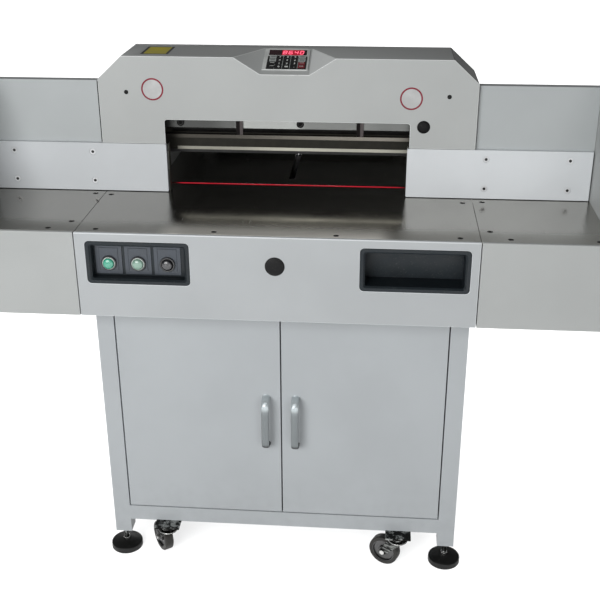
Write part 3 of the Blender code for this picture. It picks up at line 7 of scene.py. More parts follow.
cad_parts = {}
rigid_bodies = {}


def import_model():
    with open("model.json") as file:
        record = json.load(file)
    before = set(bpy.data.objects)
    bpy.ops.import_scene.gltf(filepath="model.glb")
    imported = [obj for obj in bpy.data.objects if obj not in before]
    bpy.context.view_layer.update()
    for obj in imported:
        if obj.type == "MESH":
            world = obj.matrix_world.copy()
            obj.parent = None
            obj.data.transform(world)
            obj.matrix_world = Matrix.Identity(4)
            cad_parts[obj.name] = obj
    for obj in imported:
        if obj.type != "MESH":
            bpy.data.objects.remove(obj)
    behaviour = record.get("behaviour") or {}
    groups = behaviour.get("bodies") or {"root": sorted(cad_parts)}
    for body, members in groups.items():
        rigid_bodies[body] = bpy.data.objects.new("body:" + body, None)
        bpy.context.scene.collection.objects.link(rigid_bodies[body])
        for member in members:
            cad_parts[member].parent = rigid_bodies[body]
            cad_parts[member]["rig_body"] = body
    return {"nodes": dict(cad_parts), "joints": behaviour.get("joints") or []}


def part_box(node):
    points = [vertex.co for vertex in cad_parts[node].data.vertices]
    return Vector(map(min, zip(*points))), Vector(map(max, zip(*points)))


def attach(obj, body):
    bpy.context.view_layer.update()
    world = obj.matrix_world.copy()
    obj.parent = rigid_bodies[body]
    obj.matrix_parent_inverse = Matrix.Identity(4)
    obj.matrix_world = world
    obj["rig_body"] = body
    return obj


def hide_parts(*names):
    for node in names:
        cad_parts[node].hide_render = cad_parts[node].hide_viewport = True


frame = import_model()
nodes = frame["nodes"]
joints = {joint["name"]: joint for joint in frame["joints"]}
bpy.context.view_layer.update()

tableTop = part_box("main_table")[1].z
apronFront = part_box("front_apron")[0].y
hair = 0.00005    # least lift of one skin over another
weld = {"turned": 0.000002, "skin": 0.00001, "flat": math.radians(1.5)}    # what merges into one
overrun = 0.004    # how far a cutting tool runs past the surface
endReach = 0.0022    # corners this near to a flat end belong to it


def back(setback):    # Y of a place behind the table's front edge
    return apronFront + setback


def up(rise):    # Z of a place above the table
    return tableTop + rise


def tone(red, green, blue):    # screen colour, 0 to 255, as linear light
    parts = []
    for part in (red, green, blue):
        share = part / 255
        parts.append(share / 12.92 if share <= 0.04045 else ((share + 0.055) / 1.055) ** 2.4)
    return (*parts, 1.0)


handleLow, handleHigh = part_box("left_handle")


# Shader sockets that can be added, multiplied and so on
class Wire:
    def __init__(self, finish, out):
        self.finish = finish
        self.out = out

    def calc(self, operation, first, second):
        return self.finish.add("ShaderNodeMath", {"operation": operation}, {0: first, 1: second})

    def __add__(self, other):
        return self.calc("ADD", self, other)

    def __sub__(self, other):
        return self.calc("SUBTRACT", self, other)

    def __rsub__(self, other):
        return self.calc("SUBTRACT", other, self)

    def __mul__(self, other):
        return self.calc("MULTIPLY", self, other)

    def __abs__(self):
        return self.calc("ABSOLUTE", self, 0.0)

    __radd__ = __add__
    __rmul__ = __mul__


class Finish:
    def __init__(self, name, **fixed):
        self.material = bpy.data.materials.new(name)
        self.material.use_nodes = True
        self.tree = self.material.node_tree
        self.shader = self.tree.nodes["Principled BSDF"]
        for socket, value in fixed.items():
            self.shader.inputs[socket.replace("_", " ")].default_value = value

    def add(self, kind, settings=None, values=None, out=0):
        node = self.tree.nodes.new(kind)
        for name, value in (settings or {}).items():
            setattr(node, name, value)
        for socket, value in (values or {}).items():
            if isinstance(value, Wire):
                self.tree.links.new(value.out, node.inputs[socket])
            else:
                node.inputs[socket].default_value = value
        return Wire(self, node.outputs[out])

    def feed(self, **wires):
        for socket, wire in wires.items():
            self.tree.links.new(wire.out, self.shader.inputs[socket.replace("_", " ")])
        return self.material

    def place(self, axis):    # one coordinate of the surface, in metres
        spot = self.add("ShaderNodeTexCoord", out="Object")
        return self.add("ShaderNodeSeparateXYZ", None, {0: spot}, out=axis)

    def noise(self, scale, detail=2.0, stretch=(1, 1, 1), rough=0.5):
        spot = self.add("ShaderNodeTexCoord", out="Object")
        drawn = self.add("ShaderNodeMapping", None, {"Vector": spot, "Scale": stretch})
        values = {"Vector": drawn, "Scale": scale, "Detail": detail, "Roughness": rough}
        return self.add("ShaderNodeTexNoise", None, values)

    def span(self, value, low, high, start=0.0, end=1.0):    # smooth step between two levels
        values = {"Value": value, "From Min": low, "From Max": high, "To Min": start, "To Max": end}
        return self.add("ShaderNodeMapRange", {"interpolation_type": "SMOOTHSTEP"}, values)

    def blend(self, share, first, second):
        return self.add("ShaderNodeMix", {"data_type": "RGBA"}, {0: share, 6: first, 7: second}, out=2)

    def dim(self, colour, share):    # a colour times one number
        return self.add("ShaderNodeVectorMath", {"operation": "SCALE"}, {0: colour, "Scale": share})

    def bump(self, height, distance, strength=1.0):
        values = {"Height": height, "Distance": distance, "Strength": strength}
        return self.add("ShaderNodeBump", None, values)


def shade(colour, factor):
    return (colour[0] * factor, colour[1] * factor, colour[2] * factor, 1.0)


# Powder coat: orange peel, faint clouding, dust in low places and rubbed spots
def powderCoat(name, colour, rough, peel=0.00006):
    finish = Finish(name, Specular_IOR_Level=0.45)
    cloud = finish.noise(4.5, 4.0)
    grain = finish.noise(900, 2.0)
    skin = finish.noise(260, 3.0)
    rubbed = finish.span(finish.noise(9, 6.0, (1, 1, 0.4), 0.7), 0.60, 0.74)
    low = finish.span(finish.place("Z"), 0.30, 0.04)
    dust = low * finish.span(finish.noise(38, 5.0), 0.35, 0.75) * 0.12
    base = finish.blend(finish.span(cloud, 0.3, 0.7), shade(colour, 0.955), shade(colour, 1.03))
    base = finish.blend(grain * 0.10, base, shade(colour, 0.72))
    base = finish.blend(dust, base, shade(colour, 0.42))
    height = skin * 0.8 + grain * 0.2
    sheen = finish.span(cloud, 0.2, 0.8, rough - 0.04, rough + 0.05) + grain * 0.05 - rubbed * 0.10
    return finish.feed(Base_Color=base, Roughness=sheen, Normal=finish.bump(height, peel))


# Worn lip of a powder coat, for the rounded edges: chips of bare metal, and a painted highlight that makes
# the edge lighter than the face
def powderEdge(name, colour, lift):
    finish = Finish(name, Specular_IOR_Level=0.5)
    chips = finish.span(finish.noise(420, 4.0, (1, 1, 1), 0.7), 0.66, 0.72)
    thin = finish.span(finish.noise(30, 4.0), 0.35, 0.75)
    # painted highlight: the edge colour is lifted above the face's colour
    base = finish.blend(thin * 0.5, shade(colour, 1.02 * lift), shade(colour, 1.16 * lift))
    base = finish.blend(chips, base, tone(112, 112, 108))
    rough = finish.span(thin, 0.0, 1.0, 0.40, 0.30)
    return finish.feed(Base_Color=base, Roughness=rough, Metallic=chips * 0.8,
                       Normal=finish.bump(1 - chips, 0.00008, 0.6))


# Ground steel: long grinding marks, darker stains and a few deep scratches.
# Painted light and shade along an axis: each band (start, end, change) makes the colour brighter or darker;
# the table's patch before the mouth is brightened as a painted reflection, and made rougher and less metallic
# like a worn face
def groundSteel(name, colour, rough, along, stain=0.35, relief=0.00003, lightBands=(), metal=1.0, polishAndLight=None,
                axis="X"):
    finish = Finish(name, Metallic=metal)
    extra = {}
    stretch = {"X": (3, 700, 700), "Y": (700, 3, 700), "Z": (700, 700, 3)}[along]
    marks = finish.noise(1.0, 3.0, stretch, 0.7)
    wide = finish.noise(1.0, 4.0, tuple(part * 0.12 if part > 3 else 1.2 for part in stretch), 0.6)
    cloud = finish.noise(5.5, 5.0, rough=0.6)
    scratch = finish.span(finish.noise(1.0, 2.0, (260, 22, 90), 0.5), 0.735, 0.76)
    base = finish.blend(finish.span(cloud, 0.35, 0.75) * stain, colour, shade(colour, 0.72))
    base = finish.blend(marks * 0.35, base, shade(colour, 0.80))
    # painted light and shade: each band scales the colour along the axis
    if lightBands:
        share = 1.0
        for start, end, change in lightBands:
            share = finish.span(finish.place(axis), start, end, 0.0, change) + share
        if polishAndLight:
            inside = finish.span(abs(finish.place("X")), polishAndLight["half"], polishAndLight["half"] - polishAndLight["soft"])
            worn = inside * finish.span(finish.place("Y"), polishAndLight["rear"], polishAndLight["front"])
            # painted reflection: the patch in front of the mouth is made brighter
            share = worn * polishAndLight["change"] + share
            lip = finish.span(finish.place("Y"), *polishAndLight["lipDepth"])
            lip = lip * finish.span(finish.place("X"), *polishAndLight["lipStart"]) * inside
            extra["Metallic"] = metal - worn * polishAndLight["dull"] - lip * polishAndLight["lip"]
        base = finish.dim(base, share)
    level = finish.span(cloud, 0.3, 0.7, rough - 0.03, rough + 0.05) + marks * 0.05 + scratch * 0.15
    if polishAndLight:
        level = finish.span(finish.place("Y"), polishAndLight["rear"], polishAndLight["front"], 0.0, polishAndLight["matt"]) + level
    height = marks * 0.6 + wide * 0.4 - scratch * 0.7
    return finish.feed(Base_Color=base, Roughness=level, Normal=finish.bump(height, relief, 0.8), **extra)


# Turned or plated bright metal
def brightMetal(name, colour, rough=0.18):
    finish = Finish(name, Metallic=1.0)
    marks = finish.noise(400, 3.0, rough=0.6)
    cloud = finish.noise(60, 4.0)
    base = finish.blend(cloud * 0.5, colour, shade(colour, 0.78))
    level = finish.span(cloud, 0.3, 0.7, rough - 0.05, rough + 0.08) + marks * 0.05
    return finish.feed(Base_Color=base, Roughness=level, Normal=finish.bump(marks, 0.00002))


# Plated steel, near-black, with bright streaks painted on as highlights
def glintedMetal(name, dark, pale, rough=0.24, stretch=(45, 45, 150)):
    finish = Finish(name, Metallic=0.9)
    paintedGlints = finish.span(finish.noise(1.0, 4.0, stretch, 0.6), 0.50, 0.64)
    fine = finish.noise(900, 3.0)
    level = finish.span(fine, 0.3, 0.7, rough, rough + 0.14)
    return finish.feed(Base_Color=finish.blend(paintedGlints, dark, pale), Roughness=level,
                       Normal=finish.bump(fine + paintedGlints, 0.00004))


# Painted casting: coarse sand texture under thick paint
def castPaint(name, colour, rough=0.55, shine=0.4):
    finish = Finish(name, Specular_IOR_Level=shine)
    sand = finish.noise(420, 4.0, rough=0.65)
    lumps = finish.noise(45, 3.0)
    rubbed = finish.span(finish.noise(70, 5.0), 0.62, 0.75)
    base = finish.blend(finish.span(lumps, 0.3, 0.7), shade(colour, 0.8), shade(colour, 1.15))
    base = finish.blend(rubbed * 0.4, base, shade(colour, 1.9))
    level = finish.span(lumps, 0.3, 0.7, rough - 0.06, rough + 0.08)
    return finish.feed(Base_Color=base, Roughness=level, Metallic=rubbed * 0.5,
                       Normal=finish.bump(sand * 0.6 + lumps * 0.4, 0.00025))


# Moulded plastic: spark-eroded grain, handling shine and fine dust
def mouldedPlastic(name, colour, rough, grain=0.00005, coat=0.0, speckle=900, shine=0.5):
    finish = Finish(name, Specular_IOR_Level=shine, Coat_Weight=coat, Coat_Roughness=0.08)
    pits = finish.noise(speckle, 2.0, rough=0.6)
    cloud = finish.noise(26, 4.0)
    dust = finish.span(finish.noise(300, 3.0), 0.58, 0.80) * 0.14
    base = finish.blend(finish.span(cloud, 0.3, 0.7), shade(colour, 0.9), shade(colour, 1.12))
    base = finish.blend(dust, base, tone(150, 150, 146))
    level = finish.span(cloud, 0.3, 0.7, rough - 0.06, rough + 0.08) + dust
    return finish.feed(Base_Color=base, Roughness=level, Normal=finish.bump(pits, grain))


# Rolled steel cheek with upright dark streaks
def streakedSteel(name, colour):
    finish = Finish(name, Metallic=0.4)
    streaks = finish.span(finish.noise(1.0, 2.0, (1, 130, 2), 0.6), 0.40, 0.62)
    fine = finish.noise(1.0, 3.0, (1, 900, 6), 0.6)
    base = finish.blend(streaks, shade(colour, 0.18), colour)
    return finish.feed(Base_Color=base, Roughness=finish.span(fine, 0.3, 0.7, 0.34, 0.5),
                       Normal=finish.bump(fine, 0.00002))


# Rubber: matt, with mould bloom and scuffs near the floor
def rubber(name, colour, rough, worn=0.35):
    finish = Finish(name, Specular_IOR_Level=0.35)
    bloom = finish.noise(55, 5.0)
    scuff = finish.span(finish.noise(160, 4.0, (1, 1, 3)), 0.60, 0.76) * worn
    base = finish.blend(finish.span(bloom, 0.3, 0.75), colour, shade(colour, 2.0))
    base = finish.blend(scuff, base, tone(96, 94, 90))
    level = finish.span(bloom, 0.3, 0.7, rough - 0.08, rough + 0.10)
    return finish.feed(Base_Color=base, Roughness=level, Normal=finish.bump(bloom + scuff, 0.0002))


# Cutting stick: red plastic bar with knife scores and the cutting line's light on its middle
def scoredStick(name):
    light = {"width": 0.0030, "glow": 0.0080, "strength": 0.9, "ends": (0.2775, 0.253)}
    finish = Finish(name, Emission_Strength=light["strength"], Specular_IOR_Level=0.4)
    stickLow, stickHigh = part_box("cutting_stick")
    away = abs(finish.place("Y") - (stickLow.y + stickHigh.y) / 2)
    line = finish.span(away, light["width"], light["width"] * 0.4)
    halo = finish.span(away, light["glow"], 0.0) * 0.35
    ends = finish.span(finish.noise(1.0, 2.0, (9, 0, 0)), 0.25, 0.7, 0.55, 1.0)
    scores = finish.span(finish.noise(1.0, 3.0, (14, 2600, 1), 0.6), 0.55, 0.7)
    base = finish.blend(scores * 0.6, tone(120, 12, 18), tone(60, 8, 10))
    reach = finish.span(abs(finish.place("X")), *light["ends"])
    glow = finish.blend((line + halo) * ends * reach, (0, 0, 0, 1), tone(216, 34, 56))
    return finish.feed(Base_Color=base, Roughness=finish.span(scores, 0, 1, 0.45, 0.7),
                       Emission_Color=glow, Normal=finish.bump(1 - scores, 0.0003))


# Lit display digit or its tinted window
def litPlastic(name, colour, glow, strength):
    finish = Finish(name, Emission_Strength=strength, Specular_IOR_Level=0.5)
    uneven = finish.noise(140, 3.0)
    light = finish.blend(finish.span(uneven, 0.25, 0.75), shade(glow, 0.72), glow)
    base = finish.blend(uneven, colour, shade(colour, 1.3))
    return finish.feed(Base_Color=base, Emission_Color=light, Roughness=uneven * 0.1 + 0.2,
                       Normal=finish.bump(uneven, 0.00001))


coats = {    # powder coats: name, screen colour, roughness, brightness of the worn edges' painted highlight; some are lit or shaded copies of one paint
    "grey": ("grey powder coat", tone(184, 187, 186), 0.42, 1.0),
    "head": ("head powder coat", tone(184, 187, 186), 0.42, 1.45),
    "apron": ("front powder coat", tone(188, 192, 194), 0.42, 1.45),
    "fence": ("pale powder coat", tone(206, 210, 213), 0.36, 1.0),
    # painted light: a lighter copy of the fence coat for the right fence
    "farFence": ("palest powder coat", tone(223, 227, 230), 0.36, 1.0),
    "cool": ("cool powder coat", tone(191, 196, 199), 0.40, 1.0),
    "wing": ("wing powder coat", tone(182, 187, 188), 0.40, 1.0),
    # painted light: a lighter copy of the head coat for the recess's right facet
    "facet": ("recess side powder coat", tone(220, 223, 222), 0.42, 1.0),
    # painted shade: a dark copy of the head coat for the head's right chamfer
    "slope": ("head slope powder coat", tone(72, 74, 73), 0.42, 1.0),
}
finishes = {
    "darkPaint": powderCoat("dark machine paint", tone(62, 64, 64), 0.5, 0.00008),
    # table: a painted light band that brightens it to the right, and a brightened patch before the mouth, a
    # painted reflection
    "table": groundSteel("ground table steel", tone(150, 148, 143), 0.08, "Y", relief=0.0003,
                         lightBands=((-0.25, 0.35, 0.44),), metal=0.93,
                         polishAndLight={"half": 0.258, "soft": 0.05, "rear": back(0.11), "front": back(0.025),
                                 "change": 1.6, "matt": 0.30, "dull": 0.44, "lip": 0.42,
                                 "lipDepth": (back(0.028), back(0.018)), "lipStart": (-0.06, 0.16)}),
    "steel": groundSteel("machined steel", tone(122, 122, 120), 0.3, "X", 0.25),
    # strip, carrier and lip: painted light and shade along X from their bands
    "strip": groundSteel("bright ground strip", tone(126, 125, 117), 0.42, "X", 0.25,
                         lightBands=((-0.20, 0.02, 0.95), (0.02, 0.12, -0.15))),
    "carrier": groundSteel("oiled carrier steel", tone(66, 67, 66), 0.3, "X", 0.25,
                           lightBands=((-0.19, -0.13, 0.5), (-0.127, -0.10, 3.2), (0.012, 0.045, -2.2),
                                  (0.18, 0.22, -0.3))),
    "lip": groundSteel("dull ground lip", tone(63, 61, 57), 0.3, "X", 0.25, lightBands=((-0.19, 0.20, 2.6),)),
    "cheek": streakedSteel("rolled cheek steel", tone(150, 150, 140)),
    "iron": castPaint("dark cast iron", tone(36, 38, 29)),
    "clampFace": castPaint("machine grey casting", tone(41, 40, 35), 0.5, 0.12),
    "bright": brightMetal("bright plated steel", tone(206, 206, 204)),
    "zinc": brightMetal("dark zinc", tone(92, 92, 92), 0.3),
    "blackSteel": brightMetal("blackened steel", tone(46, 46, 46), 0.38),
    "capSteel": brightMetal("black oxide steel", tone(20, 20, 20), 0.36),
    # fork and race steel: near-black with bright streaks painted on as highlights
    "forkSteel": glintedMetal("dark plated fork steel", tone(28, 29, 28), tone(120, 122, 120)),
    "raceSteel": glintedMetal("greasy race steel", tone(14, 15, 14), tone(150, 152, 150), 0.2, (60, 60, 210)),
    # post: painted highlight on each post's right side, painted shade on its left
    "post": groundSteel("blackened post steel", tone(24, 22, 22), 0.4, "Z",
                        lightBands=((-0.1115, -0.1095, 5.5), (-0.10, 0.0, -5.5), (0.1650, 0.1670, 6.5))),
    # handle: painted highlights in bands up its height, the brightest near the top
    "handle": groundSteel("satin handle metal", tone(58, 61, 62), 0.30, "Z", 0.10, metal=0.4, axis="Z",
                          lightBands=((handleLow.z + 0.015, handleLow.z + 0.024, 3.4),
                                 (handleLow.z + 0.10, handleLow.z + 0.115, 1.4),
                                 (handleHigh.z - 0.034, handleHigh.z - 0.022, 5.6))),
    "slate": mouldedPlastic("slate moulded plastic", tone(20, 28, 33), 0.5, shine=0.3),
    "black": mouldedPlastic("black moulded plastic", tone(12, 12, 13), 0.55, shine=0.18),
    "module": mouldedPlastic("grey module plastic", tone(62, 68, 76), 0.46),
    "ring": mouldedPlastic("black ring plastic", tone(20, 20, 22), 0.28, 0.00001, 0.5),
    "whiteRing": mouldedPlastic("white ring plastic", tone(222, 232, 226), 0.3, 0.00001, 0.3),
    "greenCap": mouldedPlastic("green cap plastic", tone(70, 176, 146), 0.22, 0.00001, 0.8, 300),
    "paleCap": mouldedPlastic("pale green cap plastic", tone(134, 168, 152), 0.22, 0.00001, 0.8, 300),
    "blackCap": mouldedPlastic("black cap plastic", tone(34, 34, 38), 0.22, 0.00001, 0.8, 300),
    "foil": mouldedPlastic("keypad foil", tone(20, 22, 22), 0.32, 0.00002, shine=0.3),
    "bezel": mouldedPlastic("pale console bezel", tone(206, 209, 207), 0.34, 0.00002),
    "keyBlack": mouldedPlastic("black key foil", tone(13, 16, 16), 0.3, 0.00003, shine=0.3),
    "keyGrey": mouldedPlastic("grey key foil", tone(168, 174, 172), 0.34, 0.00003),
    "windowEdge": mouldedPlastic("dark window end", tone(44, 14, 22), 0.25, 0.00002, shine=0.3),
    "keyRed": mouldedPlastic("red key foil", tone(120, 22, 32), 0.3, 0.00003),
    "print": mouldedPlastic("white print", tone(236, 240, 236), 0.4, 0.00001),
    "whiteZinc": mouldedPlastic("white zinc", tone(224, 226, 228), 0.34, 0.00001),
    "discRed": mouldedPlastic("dull red print", tone(132, 26, 48), 0.4, 0.00001, shine=0.3),
    "discPale": mouldedPlastic("pale sticker foil", tone(192, 193, 193), 0.4, 0.00001),
    "yellow": mouldedPlastic("yellow plate", tone(208, 194, 52), 0.42, 0.00002),
    "window": litPlastic("lit display window", tone(60, 4, 12), tone(206, 16, 50), 0.62),
    "digit": litPlastic("lit display digit", tone(255, 120, 140), tone(255, 92, 124), 1.25),
    "rubber": rubber("foot rubber", tone(11, 12, 11), 0.55, 0.10),
    "tread": rubber("wheel rubber", tone(34, 33, 31), 0.5),
    "stick": scoredStick("cutting stick plastic"),
    "grease": mouldedPlastic("greased steel", tone(26, 25, 22), 0.6, 0.00005),
    "seam": mouldedPlastic("dark seam", tone(24, 24, 24), 0.7),
}
for key, (name, colour, rough, lift) in coats.items():
    finishes[key + "Paint"] = powderCoat(name, colour, rough)
    finishes[key + "Edge"] = powderEdge(name + " edge", colour, lift)
print("finishes:", len(finishes))


# Modelling helpers
def only(*pieces):
    bpy.ops.object.select_all(action="DESELECT")
    for piece in pieces:
        piece.select_set(True)
    bpy.context.view_layer.objects.active = pieces[0]


def editAll(piece):
    only(piece)
    bpy.ops.object.mode_set(mode="EDIT")
    bpy.ops.mesh.select_all(action="SELECT")


def objectMode():
    bpy.ops.object.mode_set(mode="OBJECT")


def startPick(piece, kind):    # nothing of the piece stays selected
    only(piece)
    bpy.context.tool_settings.mesh_select_mode = [kind == name for name in ("corners", "edges", "faces")]
    for elements in (piece.data.vertices, piece.data.edges, piece.data.polygons):
        for element in elements:
            element.select = False


def pickFaces(piece, test):    # the test gets each face's centre and normal
    startPick(piece, "faces")
    for face in piece.data.polygons:
        face.select = test(face.center, face.normal)
    bpy.ops.object.mode_set(mode="EDIT")


def pickEdges(piece, test):    # the test gets each edge's middle and its direction
    startPick(piece, "edges")
    for edge in piece.data.edges:
        start, end = (piece.data.vertices[corner].co for corner in edge.vertices)
        edge.select = test((start + end) / 2, (end - start).normalized())
    bpy.ops.object.mode_set(mode="EDIT")


def drawIn(piece, axis, level, shift):    # a flat end moves by a small gap
    startPick(piece, "corners")
    for corner in piece.data.vertices:
        corner.select = abs(corner.co["XYZ".index(axis)] - level) < endReach
    bpy.ops.object.mode_set(mode="EDIT")
    bpy.ops.transform.translate(value=[shift if name == axis else 0 for name in "XYZ"])
    objectMode()


def paintFaces(piece, finish, test):    # some faces get a finish of their own
    piece.data.materials.append(finishes[finish])
    for face in piece.data.polygons:
        if test(face.center, face.normal):
            face.material_index = len(piece.data.materials) - 1


def applyModifier(piece, kind, **settings):
    only(piece)
    step = piece.modifiers.new(kind, kind)
    for name, value in settings.items():
        setattr(step, name, value)
    bpy.ops.object.modifier_apply(modifier=step.name)


def settle(piece):    # place, turn and scale go into the mesh
    only(piece)
    bpy.ops.object.transform_apply(location=True, rotation=True, scale=True)


def smoothBy(piece, degrees):
    only(piece)
    bpy.ops.object.shade_smooth_by_angle(angle=math.radians(degrees))


def roundEdges(piece, width, segments=2, edgeFinish=None):
    spot = -1
    if edgeFinish:
        piece.data.materials.append(finishes[edgeFinish])
        spot = len(piece.data.materials) - 1
    applyModifier(piece, "BEVEL", width=width, segments=segments, limit_method="ANGLE",
                  angle_limit=math.radians(32), material=spot, use_clamp_overlap=True)
    smoothBy(piece, 40)
    applyModifier(piece, "WEIGHTED_NORMAL", keep_sharp=True, weight=60)


def dress(piece, finish):
    piece.data.materials.clear()
    piece.data.materials.append(finishes[finish])
    return piece


def box(name, low, high, finish):
    centre = [(a + b) / 2 for a, b in zip(low, high)]
    size = [abs(b - a) for a, b in zip(low, high)]
    bpy.ops.object.select_all(action="DESELECT")
    bpy.ops.mesh.primitive_cube_add(size=1, location=centre, scale=size)
    piece = bpy.context.object
    piece.name = name
    settle(piece)
    return dress(piece, finish)


faceFront = Matrix.Rotation(math.pi / 2, 4, "X")
faceLeft = Matrix.Rotation(-math.pi / 2, 4, "Y")
turns = {
    "X": Matrix.Rotation(math.pi / 2, 4, "Y"),
    "Y": Matrix.Rotation(-math.pi / 2, 4, "X"),
    "Z": Matrix.Identity(4),
}


# A ring primitive takes the profile's points and is spun round its axis
def turned(name, profile, finish, steps=32, axis="Z", centre=(0, 0, 0), degrees=35):
    bpy.ops.object.select_all(action="DESELECT")
    bpy.ops.mesh.primitive_circle_add(vertices=len(profile), radius=1, fill_type="NOTHING")
    piece = bpy.context.object
    piece.name = name
    for corner, (radius, height) in zip(piece.data.vertices, profile):
        corner.co = (radius, 0.0, height)
    editAll(piece)
    bpy.ops.mesh.spin(steps=steps, angle=2 * math.pi, center=(0, 0, 0), axis=(0, 0, 1))
    bpy.ops.mesh.select_all(action="SELECT")
    bpy.ops.mesh.remove_doubles(threshold=weld["turned"])
    bpy.ops.mesh.dissolve_degenerate(threshold=weld["turned"])
    bpy.ops.mesh.delete_loose()
    bpy.ops.mesh.select_all(action="SELECT")
    bpy.ops.mesh.normals_make_consistent(inside=False)
    objectMode()
    piece.data.transform(Matrix.Translation(centre) @ turns[axis])
    smoothBy(piece, degrees)
    return dress(piece, finish)


def cylinder(name, radius, low, high, finish, sides=32, centre=(0, 0)):
    bpy.ops.object.select_all(action="DESELECT")
    place = (centre[0], centre[1], (low + high) / 2)
    bpy.ops.mesh.primitive_cylinder_add(vertices=sides, radius=radius, depth=high - low, location=place)
    piece = bpy.context.object
    piece.name = name
    settle(piece)
    return dress(piece, finish)


def cutAway(piece, *tools):
    for tool in tools:
        applyModifier(piece, "BOOLEAN", operation="DIFFERENCE", object=tool)
    for tool in tools:
        bpy.data.objects.remove(tool)


def twin(piece, name, matrix):    # a copy with its own mesh, moved by a matrix
    other = piece.copy()
    other.data = piece.data.copy()
    other.name = name
    bpy.context.scene.collection.objects.link(other)
    other.data.transform(matrix)
    return other


def joined(name, pieces):
    only(*pieces)
    if len(pieces) > 1:
        bpy.ops.object.join()
    piece = bpy.context.view_layer.objects.active
    piece.name = name
    return piece


def carry(piece, body, slot, *replaced):
    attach(piece, body)
    if replaced:
        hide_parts(*replaced)
    return piece


# A merged copy of a CAD node, with its flat faces whole again
def skin(node, name, finish):
    source = nodes[node]
    piece = source.copy()
    piece.data = source.data.copy()
    piece.parent = None
    piece.name = name
    for key in list(piece.keys()):
        del piece[key]
    bpy.context.scene.collection.objects.link(piece)
    only(piece)
    if piece.data.has_custom_normals:
        bpy.ops.mesh.customdata_custom_splitnormals_clear()
    editAll(piece)
    bpy.ops.mesh.remove_doubles(threshold=weld["skin"])
    bpy.ops.mesh.dissolve_limited(angle_limit=weld["flat"])
    bpy.ops.mesh.select_all(action="SELECT")
    bpy.ops.mesh.normals_make_consistent(inside=False)
    objectMode()
    return dress(piece, finish)


# The visible piece of a CAD node: its own shape with rounded edges, on the node's body
def clad(node, name, finish, width, slot):
    piece = skin(node, name, finish)
    roundEdges(piece, width)
    return carry(piece, nodes[node]["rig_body"], slot, node)


# Camera at the photograph's place: image 600 wide, 596 high
cameraPlace = {
    "spot": (0.2124, -2.4104, tableTop + 0.7352),
    "pitch": 0.4228,
    "yaw": 0.0825,
    "roll": -0.0031,
    "lens": 60.08,
}


def makeCamera(place):
    pitch, yaw, roll = place["pitch"], place["yaw"], place["roll"]
    ahead = Vector((-math.sin(yaw) * math.cos(pitch), math.cos(yaw) * math.cos(pitch), -math.sin(pitch)))
    flat = Vector((math.cos(yaw), math.sin(yaw), 0))
    level = flat.cross(ahead)
    right = flat * math.cos(roll) + level * math.sin(roll)
    top = level * math.cos(roll) - flat * math.sin(roll)
    turn = Matrix((right, top, -ahead)).transposed().to_4x4()
    data = bpy.data.cameras.new("photo camera")
    data.lens = place["lens"]
    data.sensor_width = 36
    data.clip_end = 60
    camera = bpy.data.objects.new("photo camera", data)
    camera.matrix_world = Matrix.Translation(place["spot"]) @ turn
    bpy.context.scene.collection.objects.link(camera)
    bpy.context.scene.camera = camera


makeCamera(cameraPlace)
print("camera: in place")


# Sheet metal panels and frames: name, coat and width of the rounded and worn edges, which carry a painted
# highlight
panels = {
    "stand_frame": ("weldedStand", "cool", 0.0022),
    "cabinet_floor": ("cabinetFloor", "cool", 0.0006),
    "cabinet_liner": ("cabinetLiner", "cool", 0.0005),
    "base_shell": ("baseShell", "grey", 0.0005),
    "front_apron": ("frontApron", "apron", 0.0022),
    "left_side_apron": ("leftSideApron", "grey", 0.0006),
    "right_side_apron": ("rightSideApron", "grey", 0.0006),
    "left_wing_panel": ("leftWingPanel", "wing", 0.0006),
    "right_wing_panel": ("rightWingPanel", "wing", 0.0006),
    "head_cover": ("headCover", "head", 0.0018),
    "rear_guard": ("rearGuard", "grey", 0.0006),
    "left_door": ("leftDoorPanel", "cool", 0.0006),
    "right_door": ("rightDoorPanel", "cool", 0.0006),
}
seams = {    # how far a piece's end draws back from its seam
    "wing": 0.0024, "wingTop": 0.0055, "apron": 0.0014, "fence": 0.0010, "inner": 0.0040, "outer": 0.0030,
    "under": 0.0012, "table": 0.0005,
}
made = {}
for node, (name, coat, width) in panels.items():
    piece = skin(node, name, coat + "Paint")
    if node.endswith(("wing_panel", "side_apron")):
        low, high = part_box(node)
        left = node.startswith("left")
        gap = seams["wing" if "wing" in node else "apron"]
        drawIn(piece, "X", high.x if left else low.x, -gap if left else gap)
        if "wing" in node:
            drawIn(piece, "Z", high.z, -seams["wingTop"])
    roundEdges(piece, width, edgeFinish=coat + "Edge")
    made[node] = carry(piece, nodes[node]["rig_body"], "grey_paint", node)

# The head's right chamfer has its own finish, a painted shade; the right facet of its recess has a painted
# light; the caster plates are dark steel with painted highlight streaks
facets = {"chamfer": 0.30, "recess": (0.03, 0.13)}
casterPlates = {"span": (0.245, 0.325), "above": 0.0135, "rail": 0.0955, "front": -0.3885}
plateTop = joints["left_front_caster_swivel"]["pos_m"][2] + casterPlates["above"]


def onChamfer(centre, normal):
    return centre.x > facets["chamfer"] and normal.x > 0.2 and abs(normal.y) < 0.1 and normal.z > 0.1


def onRecess(centre, normal):
    near, far = facets["recess"]
    return near < centre.x < far and normal.x < -0.3 and normal.z > 0.5


def onCasterPlate(centre, normal):
    near, far = casterPlates["span"]
    underRail = centre.z < casterPlates["rail"] or centre.y < casterPlates["front"]
    return near < abs(centre.x) < far and centre.z < plateTop and underRail


# painted shade: the right chamfer takes a dark copy of the head paint
paintFaces(made["head_cover"], "slopePaint", onChamfer)
# painted light: the recess's right facet takes a lighter copy of the head paint
paintFaces(made["head_cover"], "facetPaint", onRecess)
# caster plates: dark steel with bright streaks painted on as highlights
paintFaces(made["stand_frame"], "raceSteel", onCasterPlate)

